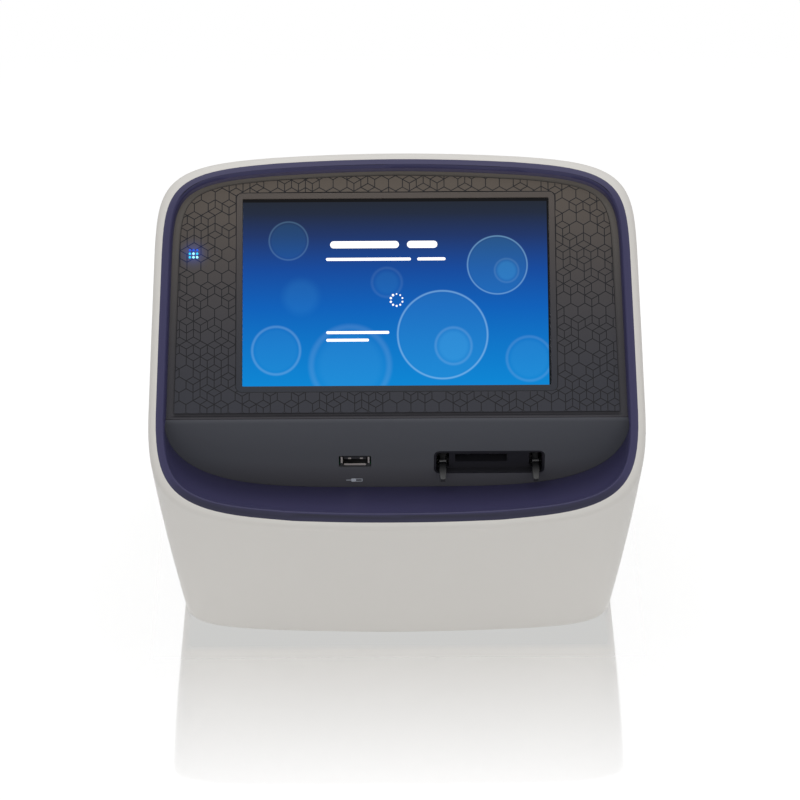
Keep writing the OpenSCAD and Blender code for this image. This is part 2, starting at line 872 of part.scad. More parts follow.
module focus_carriage() {
    color(alloy)
        difference() {
            box(axis_x - 18, axis_x + 18, axis_y - 13, screw_y + 5, focus_z, focus_z + focus_h);
            rod(objective_r, axis_x, axis_y, focus_z - 1, focus_z + focus_h + 1);
            rod(nut_r, axis_x, screw_y, focus_z - 1, focus_z + focus_h + 1);
            for (side = [-1, 1])
                rod(rod_r + rod_gap, axis_x + side * focus_rod_dx, screw_y,
                    focus_z - 1, focus_z + focus_h + 1);
        }
}

module focus_nut() {
    color([0.72, 0.60, 0.35])
        difference() {
            rod(nut_r, axis_x, screw_y, focus_z, focus_z + focus_h);
            rod(rod_r + rod_gap, axis_x, screw_y, focus_z - 1, focus_z + focus_h + 1);
        }
}

module focus_rods() {
    color(socket_silver)
        for (side = [-1, 1])
            rod(rod_r, axis_x + side * focus_rod_dx, screw_y, base_top, frame_z - frame_t);
}

coupling_z = motor_top + 2.4;
coupling_h = 10;

module focus_screw() {
    color(socket_silver) rod(rod_r, axis_x, screw_y, coupling_z + 4, frame_z - frame_t - 1);
}

module focus_coupling() {
    color(alloy)
        difference() {
            rod(4.5, axis_x, screw_y, coupling_z, coupling_z + coupling_h);
            rod(rod_r, axis_x, screw_y, coupling_z + 4, coupling_z + coupling_h + 1);
            rod(1.5 + rod_gap, axis_x, screw_y, coupling_z - 1, coupling_z + 3.6);
        }
}

module focus_motor() {
    color(soft_black)
        union() {
            box(axis_x - motor_half, axis_x + motor_half, screw_y - motor_half, screw_y + motor_half,
                base_top, motor_top);
            rod(5, axis_x, screw_y, motor_top, motor_top + 1.2);
            rod(1.5, axis_x, screw_y, motor_top, coupling_z + 3);
        }
}

/* ---- Camera ---- */

camera_z = base_top + 2;
camera_board_t = 1.6;
tube_top = 50;
tube_r = 10;

module camera_board() {
    z0 = camera_z;
    color(board_green)
        union() {
            box(axis_x - 17, axis_x + 17, axis_y - 17, axis_y + 17, z0, z0 + camera_board_t);
            box(axis_x - 16, axis_x - 12, axis_y - 8, axis_y + 8,
                z0 + camera_board_t, z0 + camera_board_t + 3);
        }
}

module image_sensor() {
    z0 = camera_z + camera_board_t;
    color([0.15, 0.16, 0.20])
        box(axis_x - 5, axis_x + 5, axis_y - 4, axis_y + 4, z0, z0 + 1.8);
}

module camera_tube() {
    z0 = camera_z + camera_board_t;
    color(soft_black)
        difference() {
            union() {
                rod(tube_r, axis_x, axis_y, z0, tube_top);
                translate([axis_x, axis_y, 0]) slab(23, 23, 2, z0, z0 + 3);
            }
            rod(tube_r - 2, axis_x, axis_y, z0 - 1, tube_top + 1);
        }
}

module tube_lens() {
    color(clear_glass)
        translate([axis_x, axis_y, tube_top - 8]) lens(tube_r - 2, 1.6, 1.8);
}

/* ---- Optics base ---- */

optics_x = [pocket_x[0] - 26, pocket_x[1] + 12];
optics_y = [frame_front - 4, frame_back + 16];
post_x = [pocket_x[0] + 0.5, pocket_x[1] - 0.5];
post_y = [frame_front + 5, frame_back];
floor_t = 2.6;
floor_top = foot_h + floor_t;
optics_low = 10;
optics_holes = corner_holes(optics_x, optics_y, 6);

module optics_base() {
    color(alloy)
        difference() {
            union() {
                box(optics_x[0], optics_x[1], optics_y[0], optics_y[1], optics_low, base_top);
                for (x = post_x, y = post_y) rod(post_r, x, y, base_top, frame_z - frame_t);
                for (i = [-1, 1], j = [-1, 1])
                    rod(2.5, axis_x + 14.5 * i, axis_y + 14.5 * j, base_top, camera_z);
            }
            for (at = optics_holes) rod(1.7, at[0], at[1], optics_low - 1, base_top + 1);
        }
}

module frame_screws() {
    color(socket_silver)
        for (at = optics_holes) translate([at[0], at[1], base_top]) screw(3, 7);
}

/* ---- Main board ---- */

board_x = [17.6 - base_w / 2, -12];
board_y = [-30, 56];
board_z = 14;
board_t = 1.6;
board_top = board_z + board_t;
board_holes = corner_holes(board_x, board_y, 5);
chip_at = [board_x[0] + 18, 32];

module main_board() {
    color(board_green)
        difference() {
            box(board_x[0], board_x[1], board_y[0], board_y[1], board_z, board_top);
            for (at = board_holes) rod(1.6, at[0], at[1], board_z - 1, board_top + 1);
        }
}

module board_connectors() {
    color(socket_silver)
        union() {
            box(ribbon_x - 15, ribbon_x + 15, ribbon_foot[0] - 2.5, ribbon_foot[0],
                board_top, ribbon_foot[1] + 2);
            for (k = [0 : 2])
                box(board_x[0] + 4, board_x[0] + 14, -20 + 12 * k, -12 + 12 * k, board_top, board_top + 6);
            for (k = [0 : 2]) rod(4, -28, 20 + 11 * k, board_top, board_top + 10);
        }
}

module processor() {
    color(soft_black)
        box(chip_at[0] - 8, chip_at[0] + 8, chip_at[1] - 8, chip_at[1] + 8, board_top, board_top + 2);
}

fin_count = 8;
fin_pitch = 4.6;

module heat_sink() {
    z0 = board_top + 2;
    half = 17;
    color(alloy)
        union() {
            box(chip_at[0] - half, chip_at[0] + half, chip_at[1] - half, chip_at[1] + half, z0, z0 + 3);
            for (k = [0 : fin_count - 1])
                translate([chip_at[0] - half + k * fin_pitch, chip_at[1] - half, z0 + 3])
                    cube([1.6, 2 * half, 14]);
        }
}

module backup_cell() {
    color(socket_silver) rod(10, -30, -16, board_top, board_top + 3.2);
}

module board_screws() {
    color(socket_silver)
        for (at = board_holes) translate([at[0], at[1], board_top]) screw(3, 6);
}

/* ---- Base ---- */

rear_sink = 0.8;
panel_out = base_mid_y + base_d / 2 - rear_sink;
panel_face_t = 2;
flange_y = panel_out - 7.2;
panel_screw_x = window_half - 8;
panel_screw_z = 22;
foot_x = base_w / 2 - 21.6;
foot_y = [-34, 60];
foot_r = 9;
spigot_r = 3;
base_screw_inset = 11.6;
base_screw_x = base_w / 2 - base_screw_inset;
base_screw_y = [-24, 48];
base_boss_r = 4;
base_boss_h = 20;
base_boss_rib = base_screw_inset - 0.6;

// A post of the base plate that takes a screw of the rear panel: it steps back over the
// panel's flange to the inner face of the panel
module panel_post(x) {
    box(x - 4, x + 4, flange_y - 6, flange_y - 0.3, floor_top, panel_screw_z + 6);
    box(x - 4, x + 4, flange_y - 0.4, panel_out - panel_face_t, window_low + 3, panel_screw_z + 6);
}

module base_plate() {
    color([0.45, 0.46, 0.48])
        difference() {
            union() {
                translate([0, 0, foot_h])
                    linear_extrude(floor_t) polygon([for (q = ring_angles) base_plan(q, -wall)]);
                for (at = board_holes) rod(3.4, at[0], at[1], floor_top, board_z);
                for (at = optics_holes) rod(4, at[0], at[1], floor_top, optics_low);
                for (side = [-1, 1]) panel_post(side * panel_screw_x);
            }
            for (x = [-foot_x, foot_x], y = foot_y) rod(spigot_r + 0.1, x, y, 0, floor_top + 1);
            for (at = board_holes) rod(1.5, at[0], at[1], floor_top + 1, board_z + 1);
            for (at = optics_holes) rod(1.5, at[0], at[1], floor_top + 0.5, optics_low + 1);
            for (side = [-1, 1])
                rod_y(1.5, side * panel_screw_x, panel_screw_z, panel_out - 12, panel_out);
            for (x = [-base_screw_x, base_screw_x], y = base_screw_y) rod(1.5, x, y, 0, floor_top + 1);
            for (k = [-4 : 4])
                translate([k * 9, 30, foot_h - 1]) slab(3.4, 40, 1.6, 0, floor_t + 2);
        }
}

module rubber_feet() {
    color(soft_black)
        for (x = [-foot_x, foot_x], y = foot_y) {
            rod(foot_r, x, y, 0, foot_h);
            rod(spigot_r, x, y, foot_h, floor_top + 0.4);
            rod(spigot_r + 1, x, y, floor_top, floor_top + 1.4);
        }
}

module base_screws() {
    color(socket_silver)
        for (x = [-base_screw_x, base_screw_x], y = base_screw_y)
            translate([x, y, foot_h]) rotate([180, 0, 0]) screw(2.6, 10);
}

/* ---- Rear panel and its sockets ---- */

flange_t = 1.8;
rear_z = 34;
jack_x = 18 - window_half;
switch_x = -28;
rear_usb_x = 6;
switch_w = 19;
switch_h = 13;
vent_rows = 3;
vent_cols = 13;

module on_rear(x, z) {
    translate([x, panel_out, z]) rotate([90, 0, 180]) children();
}

module rear_panel() {
    w = 2 * window_half - 0.6;
    h = window_high - window_low - 0.6;
    mid = (window_high + window_low) / 2;
    color([0.72, 0.72, 0.71])
        difference() {
            union() {
                on_rear(0, mid)
                    difference() {
                        slab(w, h, 2, flange_y - panel_out, 0);
                        slab(w - 4, h - 4, 1, flange_y - panel_out - 1, -panel_face_t);
                    }
                on_rear(0, mid)
                    difference() {
                        slab(w + 8, h + 8, 3, flange_y - panel_out, flange_y - panel_out + flange_t);
                        slab(w - 4, h - 4, 1, flange_y - panel_out - 1, 0);
                    }
            }
            on_rear(jack_x, rear_z) cylinder(r = 4.2, h = 10, center = true);
            on_rear(switch_x, rear_z) slab(switch_w, switch_h, 0.5, -5, 5);
            on_rear(rear_usb_x, rear_z) slab(usb_w + 0.4, usb_h + 0.4, 0.5, -5, 5);
            for (i = [0 : vent_cols - 1], j = [0 : vent_rows - 1])
                on_rear((i - (vent_cols - 1) / 2) * 10.5, 58 + 14 * j) slab(5, 9, 2.4, -5, 5);
            for (side = [-1, 1])
                on_rear(side * panel_screw_x, panel_screw_z) cylinder(r = 1.6, h = 10, center = true);
        }
}

module panel_screws() {
    color(socket_silver)
        for (side = [-1, 1]) on_rear(side * panel_screw_x, panel_screw_z) screw(3, 8);
}

module power_jack() {
    inner = panel_out - panel_face_t;
    color(soft_black)
        difference() {
            union() {
                box(jack_x - 6, jack_x + 6, inner - 12, inner, rear_z - 6, rear_z + 6);
                on_rear(jack_x, rear_z) translate([0, 0, -panel_face_t]) cylinder(r = 4, h = panel_face_t);
            }
            on_rear(jack_x, rear_z) translate([0, 0, -10]) cylinder(r = 3, h = 11);
        }
}

rocker_w = 14;
rocker_h = 9;
rocker_tilt = 8;

module switch_body() {
    color(soft_black)
        difference() {
            union() {
                on_rear(switch_x, rear_z) slab(switch_w - 0.4, switch_h - 0.4, 0.5, -16, 0);
                on_rear(switch_x, rear_z) slab(switch_w + 2, switch_h + 2, 1, 0, 1.4);
            }
            on_rear(switch_x, rear_z) slab(rocker_w + 1, rocker_h + 1, 0.4, -9, 3);
        }
}

// The rocker pivots on two stubs, and its two faces meet over the pivot. It is drawn
// switched off, tilted from its middle, and the same tilt the other way switches it on.
module power_rocker() {
    color([0.12, 0.12, 0.13])
        on_rear(switch_x, rear_z)
            translate([0, 0, -2.6])
                rotate([90, rocker_tilt, 0])
                    union() {
                        linear_extrude(rocker_h, center = true)
                            polygon([[-5.8, -2], [5.8, -2], [6.1, 4.2], [0, 3], [-6.1, 4.2]]);
                        cylinder(r = 1.2, h = rocker_h + 0.8, center = true, $fn = 24);
                    }
}

module rear_usb_shell() {
    color(socket_silver)
        translate([rear_usb_x, panel_out - panel_face_t, rear_z]) rotate([0, 0, 180]) usb_shell();
}

module rear_usb_tongue() {
    color([0.85, 0.86, 0.88])
        translate([rear_usb_x, panel_out - panel_face_t, rear_z]) rotate([0, 0, 180]) usb_tongue();
}

main_housing();
trim_ring();
front_bezel();
pattern_overlay();
screen_frame();
touch_glass();
display_gasket();
display_panel();
display_bracket();
display_driver_board();
display_ribbon();
bracket_screws();
status_light_pipe();
status_led_board();
usb_socket_shell();
usb_socket_tongue();
usb_board();
slide_port_insert();
slide_carriage();
carriage_frame();
carriage_rods();
carriage_springs();
lamp_bracket();
lamp_housing();
lamp_led_board();
condenser_lens();
objective_barrel();
objective_lens();
focus_carriage();
focus_nut();
focus_rods();
focus_screw();
focus_coupling();
focus_motor();
camera_tube();
tube_lens();
image_sensor();
camera_board();
optics_base();
frame_screws();
main_board();
board_connectors();
processor();
heat_sink();
backup_cell();
board_screws();
base_plate();
base_screws();
rubber_feet();
rear_panel();
panel_screws();
power_jack();
switch_body();
power_rocker();
rear_usb_shell();
rear_usb_tongue();
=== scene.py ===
import json
import math
import random

import bpy
from mathutils import Matrix, Vector

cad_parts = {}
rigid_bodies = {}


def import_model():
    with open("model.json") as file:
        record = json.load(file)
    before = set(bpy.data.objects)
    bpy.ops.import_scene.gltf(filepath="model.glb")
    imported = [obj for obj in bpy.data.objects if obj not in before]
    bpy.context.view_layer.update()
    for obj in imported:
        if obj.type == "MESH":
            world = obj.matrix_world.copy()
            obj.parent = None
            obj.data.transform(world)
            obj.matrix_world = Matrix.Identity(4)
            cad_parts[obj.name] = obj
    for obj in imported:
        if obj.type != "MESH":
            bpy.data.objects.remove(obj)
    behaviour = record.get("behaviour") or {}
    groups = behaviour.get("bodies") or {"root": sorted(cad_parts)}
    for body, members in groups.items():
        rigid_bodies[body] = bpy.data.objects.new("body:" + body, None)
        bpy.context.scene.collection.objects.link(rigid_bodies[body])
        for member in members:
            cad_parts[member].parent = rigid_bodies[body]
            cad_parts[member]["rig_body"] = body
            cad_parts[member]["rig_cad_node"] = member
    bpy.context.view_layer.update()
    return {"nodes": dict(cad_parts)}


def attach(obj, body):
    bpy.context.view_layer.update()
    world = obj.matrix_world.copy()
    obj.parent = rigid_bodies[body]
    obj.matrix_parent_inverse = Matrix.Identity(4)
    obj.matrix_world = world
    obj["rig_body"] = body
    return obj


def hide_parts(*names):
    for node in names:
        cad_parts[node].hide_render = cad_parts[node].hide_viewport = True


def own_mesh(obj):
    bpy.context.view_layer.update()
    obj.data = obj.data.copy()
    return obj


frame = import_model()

MM = 0.001

# ---- Measures of the instrument, in millimetres and degrees ----

face_lean = 50.8            # lean of the screen face back from upright
rim_front = 77.34           # the lowest point of the mouth, in front of the origin
rim_z = 92.8                # and its height
bezel_sink = 4.0            # depth of the bezel face below the mouth
screen_v = 115.7            # middle of the screen, up the face
screen_w = 151.6
screen_h = 94.6
top_border = 1.6            # dark border inside the screen
right_border = 1.0
light_x = -99.95            # middle of the status light
light_v = 135.3
light_pitch = 1.8
light_r = 0.6
lens_h = 0.3                # thickness of a lens
lens_edge = 0.12            # rounding of its edge
glass_sink = 4.9            # depth of the screen's glass below the mouth
usb_x = -20.9               # middle of the socket in the port panel
usb_z = 94.4
panel_y = -34.2823          # face of the port panel
sign_z = 82.3               # height of the printed sign below the socket
crease_z = 122.2            # height of the crease between the face and the port panel
# the face's paler, warmer tone up to tone_top is painted light
tone_top = 200.0            # height at which the face reaches its palest tone
panel_low = 84.0            # height of the panel's lower edge
base_front = -61.44         # the foot of the housing, in front of the origin
base_back = 75.56           # and behind it
base_half = 109.6           # half the housing's width at its foot
bow_reach = 60.6            # half the width over which the outline's middle is rounded
bow_rise = 0.46             # and how far that moves it out
bow_cuts = (-45, -30, -18, -8, 8, 18, 30, 45)
bow_front = -40.0           # the front is rounded from here forward
bow_front_fade = 20.0       # over this length
bow_front_run = 147.0       # it moves down by the height over this, for each step outward
bow_back = 51.8             # the back is rounded from here on
bow_back_fade = 4.0
bow_back_run = 325.0        # and it moves up by the height over this
seal_r = 0.3                # the bead round the film
spill_reach = 11.0          # how far the status light's glow reaches


# ---- Places ----

def face_point(across, up, out):
    """A place on the leaning face, from the lowest point of the mouth, in metres."""
    lean = math.radians(face_lean)
    y = -rim_front + up * math.sin(lean) - out * math.cos(lean)
    z = rim_z + up * math.cos(lean) + out * math.sin(lean)
    return Vector((across, y, z)) * MM


def face_matrix(across=0.0, up=0.0, out=0.0):
    """Turns the floor plane into the leaning face, and moves it to a place there."""
    turn = Matrix.Rotation(math.radians(90 - face_lean), 4, "X")
    return Matrix.Translation(face_point(across, up, out)) @ turn


def panel_matrix(across, height, out=0.0):
    """Turns the floor plane upright to face the front, at a place on the port panel."""
    turn = Matrix.Rotation(math.radians(90), 4, "X")
    return Matrix.Translation(Vector((across, panel_y - out, height)) * MM) @ turn


# ---- Workshop: selecting, shaping and finishing pieces ----

def rest_tools():
    if bpy.context.object and bpy.context.object.mode != "OBJECT":
        bpy.ops.object.mode_set(mode="OBJECT")
    bpy.ops.object.select_all(action="DESELECT")


def take(piece):
    rest_tools()
    piece.hide_set(False)
    piece.select_set(True)
    bpy.context.view_layer.objects.active = piece


def edit(piece):
    take(piece)
    bpy.ops.object.mode_set(mode="EDIT")
    bpy.ops.mesh.select_mode(type="VERT")
    bpy.ops.mesh.select_all(action="DESELECT")


def pick_faces(piece, wanted):
    """Selects the faces whose middle and normal pass the test, in edit mode."""
    bpy.ops.mesh.select_mode(type="FACE")
    bpy.ops.object.mode_set(mode="OBJECT")
    for vertex in piece.data.vertices:
        vertex.select = False
    for line in piece.data.edges:
        line.select = False
    for face in piece.data.polygons:
        face.select = wanted(face.center, face.normal)
    bpy.ops.object.mode_set(mode="EDIT")


def modify(piece, kind, **settings):
    """Adds a modifier, sets it and applies it."""
    take(piece)
    bpy.ops.object.modifier_add(type=kind)
    modifier = piece.modifiers[-1]
    for name, value in settings.items():
        setattr(modifier, name, value)
    bpy.ops.object.modifier_apply(modifier=modifier.name)


def settle(piece, matrix):
    """Puts a piece modelled at the origin in its place, and writes that place into its mesh."""
    take(piece)
    piece.matrix_world = matrix @ piece.matrix_world
    bpy.ops.object.transform_apply(location=True, rotation=True, scale=True)


def smooth(piece, degrees=30.0):
    take(piece)
    bpy.ops.object.shade_smooth_by_angle(angle=math.radians(degrees))


def join(pieces, name):
    rest_tools()
    for piece in pieces:
        piece.select_set(True)
    bpy.context.view_layer.objects.active = pieces[0]
    if len(pieces) > 1:
        bpy.ops.object.join()
    pieces[0].name = name
    return pieces[0]


def finish(piece, name, body, material, turn=30.0):
    """Names a finished piece, gives it its material and seats it on its body."""
    smooth(piece, turn)
    piece.name = name
    piece.data.materials.clear()
    piece.data.materials.append(material)
    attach(piece, body)
    return piece


def round_middle(piece):
    """Rounds the shallow corner that the outline has at its middle, at the front and the back."""
    for place in bow_cuts:
        edit(piece)
        bpy.ops.mesh.select_all(action="SELECT")
        bpy.ops.mesh.bisect(plane_co=(place * MM, 0, 0), plane_no=(1, 0, 0))
        rest_tools()
    for vertex in piece.data.vertices:
        point = vertex.co / MM
        along = abs(point.x) / bow_reach
        if along >= 1:
            continue
        grow = 4 * bow_rise * along * (1 - along) * MM
        front = min(max((bow_front - point.y) / bow_front_fade, 0), 1)
        back = min(max((point.y - bow_back) / bow_back_fade, 0), 1)
        vertex.co.y += grow * (back - front) * math.sin(math.radians(face_lean))
        vertex.co.z += grow * point.z * (back / bow_back_run - front / bow_front_run)


def welded_copy(node, flat=True):
    """A copy of a node with its loose triangles merged, and its flat faces made whole."""
    piece = frame["nodes"][node].copy()
    piece.data = piece.data.copy()
    bpy.context.scene.collection.objects.link(piece)
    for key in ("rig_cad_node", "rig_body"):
        if key in piece:
            del piece[key]
    piece.parent = None
    piece.hide_viewport = piece.hide_render = False
    edit(piece)
    bpy.ops.mesh.select_all(action="SELECT")
    bpy.ops.mesh.remove_doubles(threshold=0.000004)
    bpy.ops.mesh.customdata_custom_splitnormals_clear()
    if flat:
        bpy.ops.mesh.dissolve_limited(angle_limit=math.radians(0.6))
    rest_tools()
    return piece


def dress(node, name, material, edge=0.0, turn=30.0, flat=True, bow=False):
    """A welded copy of a node with its sharp edges eased, which stands for that node."""
    piece = welded_copy(node, flat)
    if bow:
        round_middle(piece)
    if edge:
        modify(piece, "BEVEL", width=edge * MM, segments=2, limit_method="ANGLE",
               angle_limit=math.radians(40), use_clamp_overlap=True, harden_normals=False)
    finish(piece, name, frame["nodes"][node]["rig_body"], material, turn)
    if edge:
        modify(piece, "WEIGHTED_NORMAL", keep_sharp=True, weight=100)
    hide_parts(node)
    return piece


# ---- Shader effects that several materials share ----

def new_group(name, inputs, outputs):
    """A shader node group with its named sockets, and the two ends of it."""
    group = bpy.data.node_groups.new(name, "ShaderNodeTree")
    for label, kind, value in inputs:
        socket = group.interface.new_socket(name=label, in_out="INPUT", socket_type=kind)
        if value is not None:
            socket.default_value = value
    for label, kind in outputs:
        group.interface.new_socket(name=label, in_out="OUTPUT", socket_type=kind)
    start = group.nodes.new("NodeGroupInput")
    end = group.nodes.new("NodeGroupOutput")
    return group, start, end


def add(tree, kind, **values):
    """A node, with settings for its own properties and for its sockets by name."""
    made = tree.nodes.new(kind)
    for name, value in values.items():
        if hasattr(made, name):
            setattr(made, name, value)
        else:
            made.inputs[name.replace("_", " ")].default_value = value
    return made


def math_node(tree, operation, first, second=None, third=None, clamp=False):
    made = tree.nodes.new("ShaderNodeMath")
    made.operation = operation
    made.use_clamp = clamp
    for place, value in enumerate((first, second, third)):
        if value is None:
            continue
        if isinstance(value, (int, float)):
            made.inputs[place].default_value = value
        else:
            tree.links.new(value, made.inputs[place])
    return made.outputs[0]


def mix_colours(tree, factor, first, second):
    made = tree.nodes.new("ShaderNodeMix")
    made.data_type = "RGBA"
    for socket, value in ((made.inputs[0], factor), (made.inputs[6], first), (made.inputs[7], second)):
        if isinstance(value, (int, float, tuple)):
            socket.default_value = value
        else:
            tree.links.new(value, socket)
    return made.outputs[2]


def object_place(tree):
    return add(tree, "ShaderNodeTexCoord").outputs["Object"]


def noise(tree, **values):
    """How strong a noise is at a place of the object, from 0 to 1."""
    made = add(tree, "ShaderNodeTexNoise", **values)
    tree.links.new(object_place(tree), made.inputs["Vector"])
    return made.outputs["Fac"]


def parts_of(tree, vector):
    """The X, Y and Z of a vector."""
    split = add(tree, "ShaderNodeSeparateXYZ")
    tree.links.new(vector, split.inputs[0])
    return split.outputs


def map_range(tree, value, **values):
    made = add(tree, "ShaderNodeMapRange", **values)
    tree.links.new(value, made.inputs["Value"])
    return made.outputs[0]


def ramp(tree, value, stops):
    """A colour ramp with the given stops, of which the first is at 0 and the last at 1."""
    made = add(tree, "ShaderNodeValToRGB")
    tree.links.new(value, made.inputs[0])
    ends = made.color_ramp.elements
    ends[0].color = stops[0][1]
    ends[1].color = stops[-1][1]
    for position, colour in stops[1:-1]:
        ends.new(position).color = colour
    return made.outputs[0]


def moulded_effect():
    """Fine moulded texture: a grained height, and colour and roughness that drift a little."""
    group, start, end = new_group(
        "moulded_texture",
        [("Colour", "NodeSocketColor", (0.5, 0.5, 0.5, 1)), ("Grain Size", "NodeSocketFloat", 2200.0),
         ("Drift", "NodeSocketFloat", 0.04), ("Roughness", "NodeSocketFloat", 0.5)],
        [("Colour", "NodeSocketColor"), ("Roughness", "NodeSocketFloat"), ("Height", "NodeSocketFloat")])
    grain = add(group, "ShaderNodeTexNoise", Detail=3.0, Roughness=0.6)
    group.links.new(object_place(group), grain.inputs["Vector"])
    group.links.new(start.outputs["Grain Size"], grain.inputs["Scale"])
    centred = math_node(group, "SUBTRACT", noise(group, Scale=14.0, Detail=2.0), 0.5)
    swing = math_node(group, "MULTIPLY", centred, start.outputs["Drift"])
    level = math_node(group, "ADD", swing, 1.0)
    tint = add(group, "ShaderNodeHueSaturation")
    group.links.new(start.outputs["Colour"], tint.inputs["Color"])
    group.links.new(level, tint.inputs["Value"])
    group.links.new(tint.outputs[0], end.inputs["Colour"])
    matte = math_node(group, "MULTIPLY_ADD", grain.outputs["Fac"], 0.12, start.outputs["Roughness"])
    group.links.new(math_node(group, "SUBTRACT", matte, 0.06, clamp=True), end.inputs["Roughness"])
    group.links.new(grain.outputs["Fac"], end.inputs["Height"])
    return group


def worn_effect():
    """Light handling wear along edges, and fine dust on what faces up."""
    group, start, end = new_group(
        "edge_and_dust",
        [("Colour", "NodeSocketColor", (0.5, 0.5, 0.5, 1)), ("Edge Lift", "NodeSocketFloat", 0.1),
         ("Dust", "NodeSocketFloat", 0.04)],
        [("Colour", "NodeSocketColor")])
    shape = add(group, "ShaderNodeNewGeometry")
    edge = map_range(group, shape.outputs["Pointiness"], From_Min=0.52, From_Max=0.62)
    lift = math_node(group, "MULTIPLY", edge, start.outputs["Edge Lift"])
    paler = mix_colours(group, lift, start.outputs["Colour"], (0.75, 0.75, 0.76, 1))
    up = math_node(group, "MAXIMUM", parts_of(group, shape.outputs["Normal"])["Z"], 0.0)
    specks = noise(group, Scale=900.0, Detail=4.0)
    dust = math_node(group, "MULTIPLY", math_node(group, "POWER", up, 3.0), specks)
    dust = math_node(group, "MULTIPLY", dust, start.outputs["Dust"])
    group.links.new(mix_colours(group, dust, paler, (0.62, 0.60, 0.57, 1)), end.inputs["Colour"])
    return group


def drawn_effect():
    """Lines left by drawing or milling, along one axis of the metal."""
    group, start, end = new_group(
        "drawn_lines",
        [("Stretch", "NodeSocketVector", (1.0, 1.0, 1.0)), ("Roughness", "NodeSocketFloat", 0.3)],
        [("Roughness", "NodeSocketFloat"), ("Height", "NodeSocketFloat")])
    pull = add(group, "ShaderNodeVectorMath", operation="MULTIPLY")
    group.links.new(object_place(group), pull.inputs[0])
    group.links.new(start.outputs["Stretch"], pull.inputs[1])
    lines = add(group, "ShaderNodeTexNoise", Scale=2400.0, Detail=2.0)
    group.links.new(pull.outputs[0], lines.inputs["Vector"])
    rough = math_node(group, "MULTIPLY_ADD", lines.outputs["Fac"], 0.16, start.outputs["Roughness"])
    group.links.new(math_node(group, "SUBTRACT", rough, 0.08, clamp=True), end.inputs["Roughness"])
    group.links.new(lines.outputs["Fac"], end.inputs["Height"])
    return group


def painted_height_light():
    """Three tones by height, as painted light: one below the crease, and two above it, from low to high, so
    that the face grows paler and warmer towards its top as painted light and reflection.
    """
    group, start, end = new_group(
        "painted_light_by_height",
        [("Panel Colour", "NodeSocketColor", (0.1, 0.1, 0.1, 1)),
         ("Low Colour", "NodeSocketColor", (0.1, 0.1, 0.1, 1)),
         ("High Colour", "NodeSocketColor", (0.2, 0.2, 0.2, 1))],
        [("Colour", "NodeSocketColor")])
    height = parts_of(group, object_place(group))["Z"]
    climb = map_range(group, height, From_Min=crease_z * MM, From_Max=tone_top * MM)
    share = math_node(group, "POWER", climb, 2.0)
    upper = mix_colours(group, share, start.outputs["Low Colour"], start.outputs["High Colour"])
    above = math_node(group, "GREATER_THAN", height, crease_z * MM)
    group.links.new(mix_colours(group, above, start.outputs["Panel Colour"], upper), end.inputs["Colour"])
    return group


def painted_lip_shade_and_light():
    """Painted shade and light by facing: a darker tone as painted shade on what turns to the front, below a
    lip, and a paler one as painted light on what hangs over.
    """
    group, start, end = new_group(
        "painted_lip_tones",
        [("Colour", "NodeSocketColor", (0.1, 0.1, 0.1, 1)),
         ("Lip Colour", "NodeSocketColor", (0.05, 0.05, 0.05, 1)),
         ("Wall Colour", "NodeSocketColor", (0.2, 0.2, 0.2, 1))],
        [("Colour", "NodeSocketColor")])
    normal = parts_of(group, add(group, "ShaderNodeNewGeometry").outputs["Normal"])
    turned = map_range(group, normal["Y"], From_Min=-0.72, From_Max=-0.84)
    lip = math_node(group, "MULTIPLY", turned, math_node(group, "GREATER_THAN", normal["Z"], 0.2))
    below = mix_colours(group, lip, start.outputs["Colour"], start.outputs["Lip Colour"])
    hanging = map_range(group, normal["Z"], From_Min=-0.2, From_Max=-0.5)
    group.links.new(mix_colours(group, hanging, below, start.outputs["Wall Colour"]), end.inputs["Colour"])
    return group


def spill_effect():
    """How much of a small light's glow reaches a place: full at its middle, none past its reach."""
    group, start, end = new_group(
        "light_spill",
        [("Middle", "NodeSocketVector", (0, 0, 0)), ("Reach", "NodeSocketFloat", 0.01)],
        [("Share", "NodeSocketFloat")])
    away = add(group, "ShaderNodeVectorMath", operation="DISTANCE")
    group.links.new(object_place(group), away.inputs[0])
    group.links.new(start.outputs["Middle"], away.inputs[1])
    part = math_node(group, "DIVIDE", away.outputs["Value"], start.outputs["Reach"])
    left = math_node(group, "SUBTRACT", 1.0, part, clamp=True)
    group.links.new(math_node(group, "POWER", left, 3.0), end.inputs["Share"])
    return group


MOULDED = moulded_effect()
WORN = worn_effect()
DRAWN = drawn_effect()
PAINTED_HEIGHT_LIGHT = painted_height_light()
PAINTED_LIP_TONES = painted_lip_shade_and_light()
SPILL = spill_effect()


def place_group(tree, group, **values):
    made = tree.nodes.new("ShaderNodeGroup")
    made.node_tree = group
    for name, value in values.items():
        made.inputs[name.replace("_", " ")].default_value = value
    return made


# ---- Materials ----

def srgb(red, green, blue):
    """A colour as it looks on a screen, from 0 to 255, as the linear colour that shaders take."""
    parts = []
    for value in (red, green, blue):
        share = value / 255
        parts.append(share / 12.92 if share <= 0.04045 else ((share + 0.055) / 1.055) ** 2.4)
    return (*parts, 1.0)


def new_material(name):
    made = bpy.data.materials.new(name)
    made.use_nodes = True
    shader = made.node_tree.nodes["Principled BSDF"]
    return made, made.node_tree, shader


def bump_in(tree, shader, height, strength, distance):
    bump = add(tree, "ShaderNodeBump", Strength=strength, Distance=distance)
    tree.links.new(height, bump.inputs["Height"])
    tree.links.new(bump.outputs[0], shader.inputs["Normal"])


def painted_panel_light(tree, stops):
    """Painted light on the port panel, from its lower edge to the crease: a paler tone low down that lifts
    the shade there, darker in the middle, and a painted highlight at the crease.
    """
    height = parts_of(tree, object_place(tree))["Z"]
    return ramp(tree, map_range(tree, height, From_Min=panel_low * MM, From_Max=crease_z * MM), stops)


